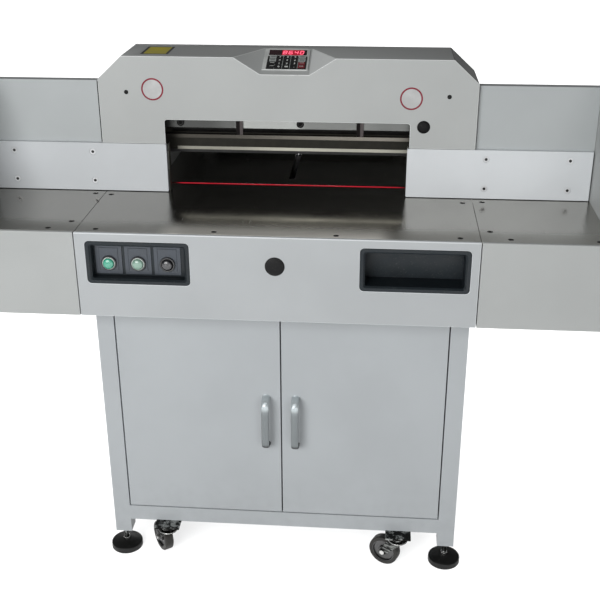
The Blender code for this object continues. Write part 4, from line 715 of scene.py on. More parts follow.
# Black strip in the seam between the left wing panel and the head, painted shade of the gap between them
seamShade = {"near": 0.0010, "far": 0.0052, "proud": 0.0004, "deep": 0.001, "start": 0.10, "stop": 0.0005}
wingLow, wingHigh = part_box("left_wing_panel")
strip = box("leftWingGasket",
            (wingHigh.x - seamShade["far"], wingLow.y - seamShade["proud"], wingLow.z + seamShade["start"]),
            (wingHigh.x - seamShade["near"], wingLow.y + seamShade["deep"],
             wingHigh.z - seams["wingTop"] - seamShade["stop"]), "black")
carry(strip, "root", "black_plastic")
print("panels:", len(panels))

# Countersunk socket screws: places along X and the second axis, metres from the table's front middle
screws = {
    "radius": 0.0058,
    "socket": 0.0030,
    "sunk": 0.0002,
    "depth": 0.0016,
    "gap": 0.0004,
    "fenceGrow": 1.22,
    "rim": 0.0009,
    "chamfer": 0.0003,
    "socketDepth": 0.0012,
    "sides": 24,
    "turn": 0.7,
    "fenceX": (0.451, 0.6375),
    "fenceZ": (0.025, 0.094),
    "sideTable": ((0.4465, 0.260), (0.4475, 0.068), (0.486, 0.0245), (0.665, 0.024)),
    "mainTable": ((-0.408, 0.2546), (0.402, 0.251), (-0.383, 0.025), (0.383, 0.025), (-0.130, 0.0256),
                  (0.127, 0.0214)),
}


# Screw head facing +Z, with a hex socket that may have its own finish: a dark lining, painted shade in the
# socket
def socketHead(name, profile, finish, steps, socket, depth, shadeLining=None):
    head = turned(name, profile, finish, steps)
    if shadeLining:
        head.data.materials.append(finishes[shadeLining])
    cutAway(head, cylinder(name + "Socket", socket, depth, overrun, "seam", 6))
    smoothBy(head, 30)
    return head


def screwMaster():    # head with its top at zero
    radius, depth, chamfer = screws["radius"], screws["depth"], screws["chamfer"]
    profile = [(0, -depth), (radius - screws["rim"], -depth), (radius, -chamfer), (radius - chamfer, 0)]
    profile.append((0, 0))
    return socketHead("screw", profile, "whiteZinc", screws["sides"], screws["socket"],
                      -screws["socketDepth"], "seam")


screwModel = screwMaster()
darkScrewModel = twin(screwModel, "darkScrew", Matrix.Identity(4))
darkScrewModel.data.materials[0] = finishes["seam"]


def fitScrews(plate, name, model, places, turn, grow=1.0):
    radius = (screws["radius"] + screws["gap"]) * grow
    bottom = -screws["depth"] - screws["sunk"]
    holes = []
    heads = []
    for number, place in enumerate(places):
        stand = Matrix.Translation(place) @ turn
        hole = cylinder(f"{name}Hole{number}", radius, bottom, overrun, "seam", screws["sides"])
        hole.data.transform(stand)
        holes.append(hole)
        spin = Matrix.Translation((0, 0, -screws["sunk"])) @ Matrix.Rotation(number * screws["turn"], 4, "Z")
        heads.append(twin(model, f"{name}{number}", stand @ spin @ Matrix.Diagonal((grow, grow, 1, 1))))
    cutAway(plate, joined(name + "Holes", holes))
    carry(joined(name, heads), "root", "bright_steel")


# Fences with their countersunk screws; the ends at the mouth are well rounded
fenceShape = {"endRadius": 0.0090, "cornerRadius": 0.003, "edge": 0.0004}
# the right fence takes a lighter copy of the fence paint: painted light
fenceSides = (("left", -1, "fence"), ("right", 1, "farFence"))
for side, sign, coat in fenceSides:
    node = side + "_fence"
    low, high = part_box(node)
    high.z -= seams["fence"]
    low.z += seams["under"]
    if sign < 0:
        high.x -= seams["inner"]
        inner = high.x
        low.x += seams["fence"]
    else:
        inner = low.x
        high.x -= seams["outer"]
    fence = box(side + "FencePlate", low, high, coat + "Paint")
    pickEdges(fence, lambda middle, run: abs(middle.x - inner) < hair and abs(run.y) > 0.9)
    bpy.ops.mesh.bevel(offset=fenceShape["cornerRadius"], segments=3, affect="EDGES")
    objectMode()
    pickEdges(fence, lambda middle, run: abs(middle.x - inner) < hair and abs(run.z) > 0.9
              and middle.y < low.y + hair)
    bpy.ops.mesh.bevel(offset=fenceShape["endRadius"], segments=8, affect="EDGES")
    objectMode()
    places = [(sign * x, low.y, up(z)) for x in screws["fenceX"] for z in screws["fenceZ"]]
    fitScrews(fence, side + "FenceScrews", screwModel, places, faceFront, screws["fenceGrow"])
    roundEdges(fence, fenceShape["edge"], edgeFinish=coat + "Edge")
    carry(fence, "root", "grey_paint", node)
print("fences: done")

# Steel cheeks that line the mouth behind the fences, in front of the knife
cheek = {"thick": 0.0010, "out": 0.0014, "rear": 0.003, "top": 0.003, "clear": 0.0003}
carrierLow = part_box("knife_carrier")[0]
for side, sign, coat in fenceSides:
    low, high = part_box(side + "_fence")
    near = (high.x if sign < 0 else low.x) + sign * cheek["out"]
    far = near + sign * cheek["thick"]
    liner = box(side + "MouthCheek", (min(near, far), high.y + cheek["clear"], tableTop + cheek["clear"]),
                (max(near, far), carrierLow.y - cheek["rear"], high.z - cheek["top"]), "cheek")
    roundEdges(liner, cheek["clear"])
    carry(liner, "root", "bright_steel")
print("cheeks: done")

# Ground tables with their screws
tables = {"edge": 0.0004, "rearEdge": 0.0006, "slotReach": 0.03}
for node, name, places in (
    ("main_table", "mainTablePlate", screws["mainTable"]),
    ("left_side_table", "leftTablePlate", [(-x, y) for x, y in screws["sideTable"]]),
    ("right_side_table", "rightTablePlate", screws["sideTable"]),
):
    plate = skin(node, name, "table")
    low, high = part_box(node)
    if node == "main_table":
        drawIn(plate, "X", low.x, seams["table"])
        drawIn(plate, "X", high.x, -seams["table"])
    spots = [(x, back(y), tableTop) for x, y in places]
    fitScrews(plate, name + "Screws", darkScrewModel, spots, turns["Z"])
    roundEdges(plate, tables["edge"])
    carry(plate, "root", "ground_steel", node)
rear = skin("rear_table", "rearTablePlate", "table")
paintFaces(rear, "grease", lambda centre, normal: abs(centre.x) < tables["slotReach"] and abs(normal.x) > 0.5)
roundEdges(rear, tables["rearEdge"])
carry(rear, "root", "ground_steel", "rear_table")
print("tables: done")

# Pieces with the CAD's own shape: name, finish, width of the rounded edges and slot
plainPieces = {
    "left_side_frame": ("leftSideCasting", "iron", 0.0010, "cast_iron"),
    "right_side_frame": ("rightSideCasting", "iron", 0.0010, "cast_iron"),
    "crossbeam": ("crossbeamCasting", "iron", 0.0015, "cast_iron"),
    "gearbox": ("gearboxCasting", "iron", 0.0030, "cast_iron"),
    "pull_rod": ("pullRodForging", "iron", 0.0008, "cast_iron"),
    "crank": ("crankForging", "iron", 0.0006, "cast_iron"),
    "back_gauge": ("backGaugeCasting", "iron", 0.0010, "cast_iron"),
    "left_gib": ("leftGibPlate", "steel", 0.0005, "bright_steel"),
    "right_gib": ("rightGibPlate", "steel", 0.0005, "bright_steel"),
    "knife_carrier": ("knifeCarrierBar", "carrier", 0.0006, "bright_steel"),
    "knife_blade": ("knifeBladeBar", "blackSteel", 0.0002, "bright_steel"),
    "clamp_spindle": ("clampSpindleBar", "steel", 0.0004, "bright_steel"),
    "gauge_screw": ("gaugeScrewBar", "grease", 0.0004, "bright_steel"),
    "clamp": ("clampCasting", "clampFace", 0.0008, "cast_iron"),
    "main_motor": ("mainMotorBody", "darkPaint", 0.0010, "dark_paint"),
    "gauge_motor": ("gaugeMotorBody", "darkPaint", 0.0008, "dark_paint"),
    "base_plate": ("basePlate", "darkPaint", 0.0008, "dark_paint"),
    "cutting_stick": ("cuttingStickBar", "stick", 0.0003, "red_plastic"),
    "control_pocket": ("controlPocketMoulding", "slate", 0.0004, "slate_plastic"),
    "tray_pocket": ("trayPocketMoulding", "slate", 0.0004, "slate_plastic"),
    "console_panel": ("consolePlate", "bezel", 0.0005, "keypad"),
}
for node, values in plainPieces.items():
    made[node] = clad(node, *values)
print("plain pieces:", len(plainPieces))

# Clamp: bright lip on the foot's top and a ground strip along its lower edge, both with painted light and
# shade along X; a black band under the strip paints the shade at the clamp's lower edge
clampStrips = {"relief": 0.0066, "stripHigh": 0.0142, "footHigh": 0.0425, "reach": 0.350, "left": -0.2665,
               "lip": 0.0145, "thick": 0.0004, "face": 0.0085, "step": 0.001, "edge": 0.0001}
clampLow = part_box("clamp")[0]


def clampStrip(name, left, front, bottom, rear, top, finish):    # heights above the clamp's lower edge
    return box(name, (left, clampLow.y + front - hair, clampLow.z + bottom),
               (clampStrips["reach"], clampLow.y + rear, clampLow.z + top), finish)


left, lipHigh = -clampStrips["reach"], clampStrips["footHigh"]
bright = joined("clampGroundFaces", [
    clampStrip("groundStrip", clampStrips["left"], 0, clampStrips["relief"], clampStrips["thick"],
               clampStrips["stripHigh"], "strip"),
    clampStrip("topLip", left, clampStrips["step"], lipHigh - clampStrips["face"], clampStrips["lip"],
               lipHigh + hair, "lip"),
    # black band below the ground strip: painted shade under the clamp's lower edge
    clampStrip("paintedEdge", left, 0, -hair, clampStrips["thick"], clampStrips["relief"], "seam"),
])
roundEdges(bright, clampStrips["edge"], 1)
carry(bright, "clamp", "bright_steel")

# The two adjusting posts stand before the carrier's face and are blackened, with a painted highlight on each
# post's right side and painted shade on its left
posts = {"proud": 0.0052}
carrierFace = carrierLow.y + posts["proud"]
paintFaces(made["knife_carrier"], "post", lambda centre, normal: centre.y < carrierFace)

# Socket cap screws on the knife carrier, drawn once with their hex sockets
capScrews = {"x": (-0.249, 0.0285, 0.306), "rise": 0.157, "radius": 0.0086, "high": 0.0022, "socket": 0.0042,
             "deep": 0.0016, "foot": 0.001, "chamfer": 0.0006, "rimShares": (0.58, 0.66, 0.74), "rim": 0.0002}


def capScrewMaster():    # low head standing on zero
    radius, high, foot = capScrews["radius"], capScrews["high"], capScrews["foot"]
    chamfer, rim = capScrews["chamfer"], capScrews["rim"]
    profile = [(0, -foot), (radius, -foot), (radius, high - chamfer), (radius - chamfer, high), (0, high)]
    head = socketHead("cap", profile, "capSteel", 32, capScrews["socket"], high - capScrews["deep"])
    near, middle, far = (radius * share for share in capScrews["rimShares"])
    outline = [(near, high), (middle, high + rim), (far, high), (middle, high - rim)]
    return joined("cap", [head, turned("capRim", outline, "blackSteel")])


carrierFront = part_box("left_gib")[0].y
capModel = capScrewMaster()
caps = []
for number, x in enumerate(capScrews["x"]):
    place = Matrix.Translation((x, carrierFront, up(capScrews["rise"])))
    caps.append(twin(capModel, f"cap{number}", place @ faceFront))
carry(joined("carrierCapScrews", caps), "knife", "bright_steel")
bpy.data.objects.remove(capModel)
print("knife: done")


# Push buttons with their bezels, and the plates they stand in
buttons = {
    "pitch": 0.0635,
    "middle": -0.296,
    "drop": 0.076,
    "floor": 0.024,
    "cap": 0.0115,
    "capDepth": 0.0047,
    "dome": 0.0042,
    "stem": 0.005,
    "clear": 0.0005,
    "ringOut": 0.0168,
    "ringHigh": 0.0053,
    "ringRound": 0.0014,
    "ringFoot": 0.001,
    "ringLip": 0.0004,
    "white": 0.0016,
    "whiteFoot": 0.002,
    "whiteTop": (0.0003, 0.0009),
    "sides": 48,
}
modules = {"wide": 0.0572, "margin": 0.0145, "groove": 0.0415, "grooveWide": 0.0012, "grooveDeep": 0.0006,
           "front": 0.0014, "rear": 0.0006, "lip": 0.0002, "overlap": 0.0006}
buttonNames = {"green_button": ("greenCap", "green_cap"), "pale_button": ("paleCap", "pale_cap"),
               "black_button": ("blackCap", "black_cap")}
pocketLow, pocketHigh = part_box("control_pocket")
floorY = back(buttons["floor"])


def bezel(label, centre):
    inner, outer, high = buttons["cap"] + buttons["clear"], buttons["ringOut"], buttons["ringHigh"]
    foot, bend = buttons["ringFoot"], buttons["ringRound"]
    profile = [(inner, foot), (outer, foot), (outer, -high + bend), (outer - bend, -high),
               (inner + buttons["ringLip"], -high)]
    ring = turned(label + "ButtonRing", profile, "ring", buttons["sides"], "Y", centre)
    far, low = inner + buttons["white"], -buttons["whiteFoot"]
    edge, crest = (-high - rise for rise in buttons["whiteTop"])
    profile = [(inner, low), (far, low), (far, edge), ((inner + far) / 2, crest), (inner, edge)]
    finish = "ring" if label == "black" else "whiteRing"
    rim = turned(label + "ButtonRim", profile, finish, buttons["sides"], "Y", centre)
    carry(joined(label + "ButtonBezel", [ring, rim]), "root", "slate_plastic")


def buttonCap(node, label, finish, slot, centre):
    cap, depth, stem = buttons["cap"], buttons["capDepth"], buttons["stem"]
    low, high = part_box(node)
    top, foot = low.y - floorY, high.y - floorY
    angles = [step * math.pi / 16 for step in range(1, 9)]
    dome = [(cap * math.sin(angle), top + buttons["dome"] * (1 - math.cos(angle))) for angle in angles]
    profile = [(0, top), *dome, (cap, -depth), (stem, -depth), (stem, foot), (0, foot)]
    carry(turned(label + "ButtonCap", profile, finish, buttons["sides"], "Y", centre), node, slot, node)


def modulePlate(label, centre):
    half = modules["wide"] / 2
    plate = box(label + "ModulePlate",
                (centre[0] - half, floorY - modules["front"], pocketLow.z + modules["margin"]),
                (centre[0] + half, floorY - modules["rear"], pocketHigh.z - modules["margin"]), "module")
    pickFaces(plate, lambda place, normal: normal.y < -0.9)
    bpy.ops.mesh.inset(thickness=(modules["wide"] - modules["groove"] - modules["grooveWide"]) / 2, depth=0)
    bpy.ops.mesh.inset(thickness=modules["grooveWide"], depth=-modules["grooveDeep"])
    bpy.ops.mesh.inset(thickness=modules["lip"], depth=modules["grooveDeep"])
    objectMode()
    radius = buttons["ringOut"] - modules["overlap"]
    hole = cylinder(label + "Hole", radius, -overrun, overrun, "seam", buttons["sides"])
    hole.data.transform(Matrix.Translation(centre) @ faceFront)
    cutAway(plate, hole)
    smoothBy(plate, 25)
    carry(plate, "root", "slate_plastic")


for number, (node, (finish, slot)) in enumerate(buttonNames.items()):
    label = node.split("_")[0]
    centre = (buttons["middle"] + (number - 1) * buttons["pitch"], floorY, up(-buttons["drop"]))
    bezel(label, centre)
    buttonCap(node, label, finish, slot, centre)
    modulePlate(label, centre)
print("controls: done")

# Round plugs, domed and with a moulded ring
plugs = {"front_plug": ("frontPlugCap", 0.021), "head_plug": ("headPlugCap", 0.0145)}
plugDome = {"high": 0.0036, "brim": 0.0037, "neckShare": 0.8, "shares": (0.0, 0.3, 0.55, 0.75, 0.9, 1.0)}
for node, (name, radius) in plugs.items():
    low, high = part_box(node)
    depth, brim, neck = high.y - low.y, plugDome["brim"], radius * plugDome["neckShare"]
    profile = [(radius * share, plugDome["high"] * share ** 3) for share in plugDome["shares"]]
    profile += [(radius, brim), (neck, brim), (neck, depth), (0, depth)]
    plug = turned(name, profile, "black", 48, "Y", ((low.x + high.x) / 2, low.y, (low.z + high.z) / 2))
    carry(plug, "root", "black_plastic", node)
print("plugs: done")


# Console: raised frame, keys with plain numbers, lit window with digits
console = {
    "wide": 0.093,
    "long": 0.096,
    "thick": 0.003,
    "lift": 0.0003,
    "sunk": 0.0002,
    "left": 0.0030,
    "right": 0.0006,
    "top": 0.0058,
    "bottom": 0.0006,
    "rim": (0.0060, 0.0034),
    "rimDrop": 0.0008,
    "keyHigh": 0.0118,
    "keyWide": 0.0136,
    "keyGap": 0.0028,
    "keyLift": 0.0005,
    "keyRound": 0.0004,
    "side": 0.0155,
    "columns": (-0.0315, -0.0168, 0.0004, 0.0176, 0.0347),
    "lines": (-0.0254, -0.0082, 0.0090, 0.0262),
    "lineHalf": 0.0005,
    "lineEnd": 0.003,
    "mark": (0.0050, 0.0006, 0.00008),
    "markSpots": (0.0020, -0.0014),
    "textShift": (0.0012, -0.0010),
}
window = {"high": 0.0240, "wide": 0.0870, "above": 0.0022, "below": 0.0020, "litShares": (-0.30, 0.80),
          "firstShare": -0.14, "pitch": 0.0128, "half": 0.0036, "tall": 0.0066, "bar": 0.0010,
          "relief": 0.00025}
lettering = {"size": 0.0080, "extrude": 0.00008, "offset": 0.00025, "resolution_u": 3, "align_x": "CENTER",
             "align_y": "CENTER"}
keyText = (("7", "8", "9"), ("4", "5", "6"), ("1", "2", "3"), ("0", "00", "."))
keyFace = console["thick"] / 2


def consoleMatrix():
    low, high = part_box("console_panel")
    tilt = math.atan2(high.z - low.z - console["thick"], high.y - low.y)
    return Matrix.Translation((low + high) / 2) @ Matrix.Rotation(tilt, 4, "X")


# Flat piece on the console's face, in the face's own directions
def foil(name, left, right, near, far, finish, lift=console["lift"], foot=0.0):
    return box(name, (left, near, keyFace - foot), (right, far, keyFace + lift), finish)


def keyTextPiece(name, text, x, y):
    bpy.ops.object.select_all(action="DESELECT")
    bpy.ops.object.text_add(location=(x, y, keyFace + console["keyLift"]))
    piece = bpy.context.object
    piece.data.body = text
    for setting, value in lettering.items():
        setattr(piece.data, setting, value)
    only(piece)
    bpy.ops.object.convert(target="MESH")
    piece = bpy.context.object
    piece.name = name
    settle(piece)
    return dress(piece, "print")


# Seven bars per digit: place of each bar as shares of the digit's half width and half height
bars = {
    "a": (0, 1, "across"), "b": (1, 0.5, "upright"), "c": (1, -0.5, "upright"), "d": (0, -1, "across"),
    "e": (-1, -0.5, "upright"), "f": (-1, 0.5, "upright"), "g": (0, 0, "across"),
}
numerals = {"0": "abcdef", "4": "fgbc", "6": "afgedc", "8": "abcdefg"}
barShares = {"across": 0.86, "upright": 0.42, "lean": 0.12}


def digit(name, numeral, x, y):
    half, tall, thick = window["half"], window["tall"], window["bar"]
    parts = []
    for bar in numerals[numeral]:
        across, high, lie = bars[bar]
        middle = (x + across * half + high * tall * barShares["lean"], y + high * tall)
        length = (half if lie == "across" else tall) * barShares[lie]
        wide, long = (length, thick) if lie == "across" else (thick, length)
        parts.append(box(name + bar, (middle[0] - wide, middle[1] - long, keyFace + console["lift"]),
                         (middle[0] + wide, middle[1] + long, keyFace + console["lift"] + window["relief"]),
                         "digit"))
    return parts


def consoleKey(row, column, x, y):
    outside = column in (0, 4)
    finish = "keyBlack"
    if outside and row < 2:
        finish = "keyGrey"
    elif column == 4:
        finish = "keyRed"
    label = f"{row}{column}"
    half, high = console["side" if outside else "keyWide"] / 2, console["keyHigh"] / 2
    lift = console["keyLift"]
    key = foil("key" + label, x - half, x + half, y - high, y + high, finish, lift, console["keyRound"])
    roundEdges(key, console["keyRound"])
    if not outside:
        shiftX, shiftY = console["textShift"]
        return [key, keyTextPiece("number" + label, keyText[row][column - 1], x + shiftX, y + shiftY)]
    long, thick, relief = console["mark"]
    marks = [foil(f"mark{label}{spot}", x - long, x + long, y + spot - thick, y + spot + thick,
                  "print" if finish != "keyGrey" else "keyBlack", lift + relief, -lift)
             for spot in console["markSpots"][:2 if row < 2 else 1]]
    return [key, *marks]


def makeConsole():
    wide, long = console["wide"] / 2, console["long"] / 2
    half, high = window["wide"] / 2, window["high"] / 2
    windowY = long - console["top"] - window["above"] - high
    shift = (console["left"] - console["right"]) / 2
    litLow, litHigh = (half * share for share in window["litShares"])
    near, far = windowY - high, windowY + high
    parts = [
        foil("keypadRim", -wide - console["rim"][0], wide + console["rim"][1], -long, long, "bezel",
             -console["rimDrop"], console["thick"] - console["sunk"]),
        foil("keypadFoil", -wide + console["left"], wide - console["right"], -long + console["bottom"],
             long - console["top"], "foil", hair, console["sunk"]),
        foil("windowDark", shift - half, litLow, near, far, "windowEdge"),
        foil("windowLit", litLow, litHigh, near, far, "window"),
        foil("windowEnd", litHigh, half, near, far, "windowEdge"),
    ]
    for number, numeral in enumerate("8640"):
        x = half * window["firstShare"] + number * window["pitch"]
        parts += digit(f"digit{number}", numeral, x, windowY)
    for x in console["lines"]:
        parts.append(foil("keyLine", x - console["lineHalf"], x + console["lineHalf"],
                          -long + console["lineEnd"], near, "keyGrey"))
    for row in range(len(keyText)):
        y = near - window["below"] - console["keyHigh"] / 2 - row * (console["keyHigh"] + console["keyGap"])
        for column, x in enumerate(console["columns"]):
            parts += consoleKey(row, column, x, y)
    keypad = joined("consoleKeys", parts)
    keypad.data.transform(consoleMatrix())
    carry(keypad, "root", "keypad")


makeConsole()
print("console: done")

# Plain round stickers, small dark bungs and the plain yellow plate of the head
stickers = {"left": (-0.301, 0.2416), "right": (0.278, 0.2293), "radius": 0.0252, "rim": 0.0036,
            "thick": 0.00025, "sides": 64}
bungs = {"places": ((-0.361, 0.2345), (0.361, 0.2345)),
         "profile": [(0, -0.0006), (0.0030, -0.0009), (0.0042, -0.0008), (0.0049, -0.0003), (0.0050, 0.0006),
                     (0, 0.0006)]}
plate = {"low": (-0.330, 0.304), "high": (-0.267, 0.396), "border": 0.0060, "sunk": 0.0006}
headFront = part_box("head_cover")[0].y
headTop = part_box("head_cover")[1].z
for side in ("left", "right"):
    x, rise = stickers[side]
    centre = (x, headFront, up(rise))
    radius, thick, sides = stickers["radius"], stickers["thick"], stickers["sides"]
    profile = [(0, 0), (radius, 0), (radius, -thick), (0, -thick)]
    disc = turned(side + "Disc", profile, "discPale", sides, "Y", centre)
    inner, outer, near, far = radius - stickers["rim"], radius + hair, hair - thick, -hair - thick
    profile = [(inner, near), (outer, near), (outer, far), (inner, far)]
    edge = turned(side + "DiscRim", profile, "discRed", sides, "Y", centre)
    carry(joined(side + "PlainSticker", [disc, edge]), "root", "keypad")
parts = [turned(f"bung{x}", bungs["profile"], "black", 24, "Y", (x, headFront, up(rise)))
         for x, rise in bungs["places"]]
carry(joined("headBungs", parts), "root", "black_plastic")


def plateBox(name, inset, bottom, top, finish):    # the plate's outline drawn in, at heights over the head
    (left, near), (right, far) = plate["low"], plate["high"]
    return box(name, (left + inset, back(near + inset), headTop + bottom),
               (right - inset, back(far - inset), headTop + top), finish)


cutAway(made["head_cover"], plateBox("plateRecess", 0, -plate["sunk"], overrun, "greyPaint"))
yellow = plateBox("topPlate", hair, hair - plate["sunk"], -2 * hair, "foil")
field = plateBox("topPlateField", plate["border"], -3 * hair, -hair, "yellow")
carry(joined("plainTopPlate", [yellow, field]), "root", "keypad")
print("head trim: done")

# Door handles: the CAD bow, rounded, with a small foot ring at each end
handleShape = {"share": 0.935, "ring": 0.0085, "flatShare": 0.55,
               "profile": [(0, 0), (0.0088, 0), (0.0088, -0.0006), (0.0078, -0.0012), (0, -0.0012)]}
handlePieces = []
for side in ("left", "right"):
    node = side + "_handle"
    low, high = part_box(node)
    bow = skin(node, side + "BowHandle", "handle")
    creases = bow.data.attributes.new("crease_edge", "FLOAT", "EDGE")
    for edge in bow.data.edges:
        if all(bow.data.vertices[corner].co.y > high.y - hair for corner in edge.vertices):
            creases.data[edge.index].value = 1.0
    applyModifier(bow, "SUBSURF", levels=2, render_levels=2)
    smoothBy(bow, 50)
    middle = Matrix.Translation((0, 0, (low.z + high.z) / 2))
    bow.data.transform(middle @ Matrix.Scale(handleShape["share"], 4, (0, 0, 1)) @ middle.inverted())
    parts = [bow]
    for z in (low.z + handleShape["ring"], high.z - handleShape["ring"]):
        ring = turned(side + "Foot", handleShape["profile"], "handle", 32, "Y")
        flat = Matrix.Scale(handleShape["flatShare"], 4, (0, 0, 1))
        ring.data.transform(Matrix.Translation(((low.x + high.x) / 2, high.y, z)) @ flat)
        parts.append(ring)
    handlePieces.append(carry(joined(side + "BowHandle", parts), side + "_door", "handle_metal", node))
print("handles: done")


def arc(middle, radius, steps, parts):    # first steps of a round stretch, as (radius, height) points
    angles = [step * math.pi / parts for step in range(steps)]
    return [(middle[0] + radius * math.cos(angle), middle[1] + radius * math.sin(angle)) for angle in angles]


# Levelling feet: rubber pad, hex lock nut, threaded stud
footShape = {"pad": 0.0388, "rim": 0.016, "round": 0.003, "sole": 0.0015, "dome": 0.020, "shoulder": 0.008,
             "slope": 0.0012, "collar": 0.013, "nut": 0.0095, "nutHigh": 0.008, "nutEdge": 0.0007,
             "sunk": 0.001, "stud": 0.006, "pitch": 0.00175, "thread": 0.0007}


def makeFoot(node):
    s = footShape
    low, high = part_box(node)
    centre = ((low.x + high.x) / 2, (low.y + high.y) / 2, 0.0)
    bend = arc((s["pad"] - s["round"], s["rim"] - s["round"]), s["round"], 6, 10)
    dome = [(s["collar"] + s["shoulder"], s["dome"] - s["slope"]), (s["collar"], s["dome"]), (0, s["dome"])]
    profile = [(0, 0), (s["pad"] - s["sole"], 0), (s["pad"], s["sole"]), *bend, *dome]
    pad = turned(node + "Pad", profile, "rubber", 48, "Z", centre)
    top = s["dome"] + s["nutHigh"]
    nut = cylinder(node + "Nut", s["nut"], s["dome"], top, "bright", 6, centre[:2])
    roundEdges(nut, s["nutEdge"])
    start = top - s["sunk"]
    ridges = int((high.z - start) / s["pitch"])
    outline = [(0, start)]
    for step in range(ridges):
        z = start + step * s["pitch"]
        outline += [(s["stud"] - s["thread"], z), (s["stud"], z + s["pitch"] / 2)]
    outline.append((0, start + ridges * s["pitch"]))
    stud = turned(node + "Stud", outline, "forkSteel", 24, "Z", centre, 20)
    return joined(node + "Piece", [pad, nut, stud])


# Casters: pressed fork, ball race, tyre, hub and an axle nut at each side
casterShape = {
    "wheel": 0.038, "half": 0.011, "round": 0.0022, "hub": 0.013, "rim": 0.0285, "axle": 0.0043,
    "web": 0.006, "edge": 0.001, "bead": 0.0006, "lip": 0.0008, "seat": 0.0005,
    "groove": (0.0022, 0.0026, 0.0036, 0.0040), "grooveDeep": 0.0006,
    "nut": 0.0066, "nutHigh": 0.0032, "nutEdge": 0.0005, "nutPlace": 0.0153, "fork": 0.0006,
    "crown": 0.0848, "race": ((0.0185, 0.0042), (0.0235, 0.0040), (0.0242, 0.0022), (0.0232, 0.0004),
                              (0.0185, 0.0004)),
}


def wheelMatrix(joint):
    turn = Vector(joint["axis"]).to_track_quat("Z", "Y").to_matrix().to_4x4()
    return Matrix.Translation(joint["pos_m"]) @ turn


def makeWheel(name, joint):
    s = casterShape
    r, h, bend = s["wheel"], s["half"], s["round"]
    crown = arc((r - bend, h - bend), bend, 5, 8)
    seat = s["rim"] + s["seat"]
    tyre = crown + [(seat, h), (seat, -h)] + [(radius, -z) for radius, z in reversed(crown)]
    near, floorNear, floorFar, far = s["groove"]
    deep = r - s["grooveDeep"]
    groove = [(r, near), (deep, floorNear), (deep, floorFar), (r, far)]
    tyre += [(radius, -z) for radius, z in reversed(groove)] + groove
    band = turned(name + "Tyre", tyre, "tread", 56)
    hub, rim, web, edge = s["hub"], s["rim"], s["web"], s["edge"]
    side = [(rim + s["bead"], h - s["lip"]), (rim - edge, h - s["lip"]), (rim - 3 * edge, web), (hub, web),
            (hub, h - edge), (hub - edge, h), (s["axle"], h)]
    profile = [(radius, -z) for radius, z in reversed(side)] + side
    wheel = joined(name, [band, turned(name + "Hub", profile, "zinc", 48)])
    wheel.data.transform(wheelMatrix(joint))
    return wheel


def makeFork(name, node, joint, swivel):
    s = casterShape
    fork = skin(node, name, "forkSteel")
    roundEdges(fork, s["fork"])
    parts = [fork]
    for flip in (Matrix.Rotation(math.pi, 4, "X"), Matrix.Identity(4)):
        nut = cylinder(name + "Nut", s["nut"], 0, s["nutHigh"], "bright", 6)
        roundEdges(nut, s["nutEdge"])
        nut.data.transform(wheelMatrix(joint) @ flip @ Matrix.Translation((0, 0, s["nutPlace"])))
        parts.append(nut)
    profile = [(radius, s["crown"] - drop) for radius, drop in s["race"]]
    parts.append(turned(name + "Race", profile, "bright", 40, "Z", (*swivel["pos_m"][:2], 0)))
    return joined(name, parts)


for side in ("left", "right"):
    for row in ("front", "rear"):
        foot, base = f"{side}_{row}_foot", f"{side}_{row}_caster"
        carry(makeFoot(foot), foot, "foot_rubber", foot)
        roll, swivel = joints[base + "_roll"], joints[base + "_swivel"]
        wheel = makeWheel(f"{side}{row.title()}Wheel", roll)
        carry(wheel, base + "_wheel", "wheel_rubber", base + "_wheel")
        fork = makeFork(f"{side}{row.title()}Fork", base + "_fork", roll, swivel)
        carry(fork, base, "fork_steel", base + "_fork")
print("feet and casters: done")

# Rear side: mains inlet with its pins
inletShape = {"edge": 0.0012, "pins": ((-0.007, 0.002), (0.0, -0.003), (0.007, 0.002)),
              "half": (0.001, 0.002), "depth": (0.0125, 0.004), "pinEdge": 0.0004}
low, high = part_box("mains_inlet")
inlet = skin("mains_inlet", "mainsInletShell", "black")
roundEdges(inlet, inletShape["edge"], 3)
parts = [inlet]
wide, tall = inletShape["half"]
inside, mouth = (high.y - depth for depth in inletShape["depth"])
for x, z in inletShape["pins"]:
    x, z = (low.x + high.x) / 2 + x, (low.z + high.z) / 2 + z
    pin = box("pin", (x - wide, inside, z - tall), (x + wide, mouth, z + tall), "bright")
    roundEdges(pin, inletShape["pinEdge"])
    parts.append(pin)
carry(joined("mainsInletShell", parts), "root", "black_plastic", "mains_inlet")

# Folded tray that keeps dust off the gauge screw, hung under the rear table
tray = {"half": 0.034, "bottom": 0.817, "sheet": 0.0015, "table": 0.018, "front": 0.0005, "rear": 0.001,
        "edge": 0.0003}
rearLow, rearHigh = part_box("rear_table")
half, sheet = tray["half"], tray["sheet"]
front, end = rearLow.y + tray["front"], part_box("gauge_motor")[0].y - tray["rear"]
top = rearHigh.z - tray["table"]
screwTray = box("screwTray", (-half, front, tray["bottom"]), (half, end, top), "darkPaint")
hollow = box("trayHollow", (sheet - half, front - overrun, tray["bottom"] + sheet),
             (half - sheet, end + overrun, top + overrun), "darkPaint")
cutAway(screwTray, hollow)
roundEdges(screwTray, tray["edge"])
carry(screwTray, "root", "dark_paint")

# Domed screws of the base shell, the rear guard and the head's back
buttonHeads = {
    "radius": 0.0052,
    "high": 0.0026,
    "foot": 0.0002,
    "socket": 0.0016,
    "deep": 0.0012,
    "shell": ((-0.40, -0.22, 0.22, 0.40), 0.02),
    "guard": ((0.06, 0.26), 0.05, 0.02),
    "head": ((-0.39, 0.39), (0.03, 0.13, 0.23)),
}


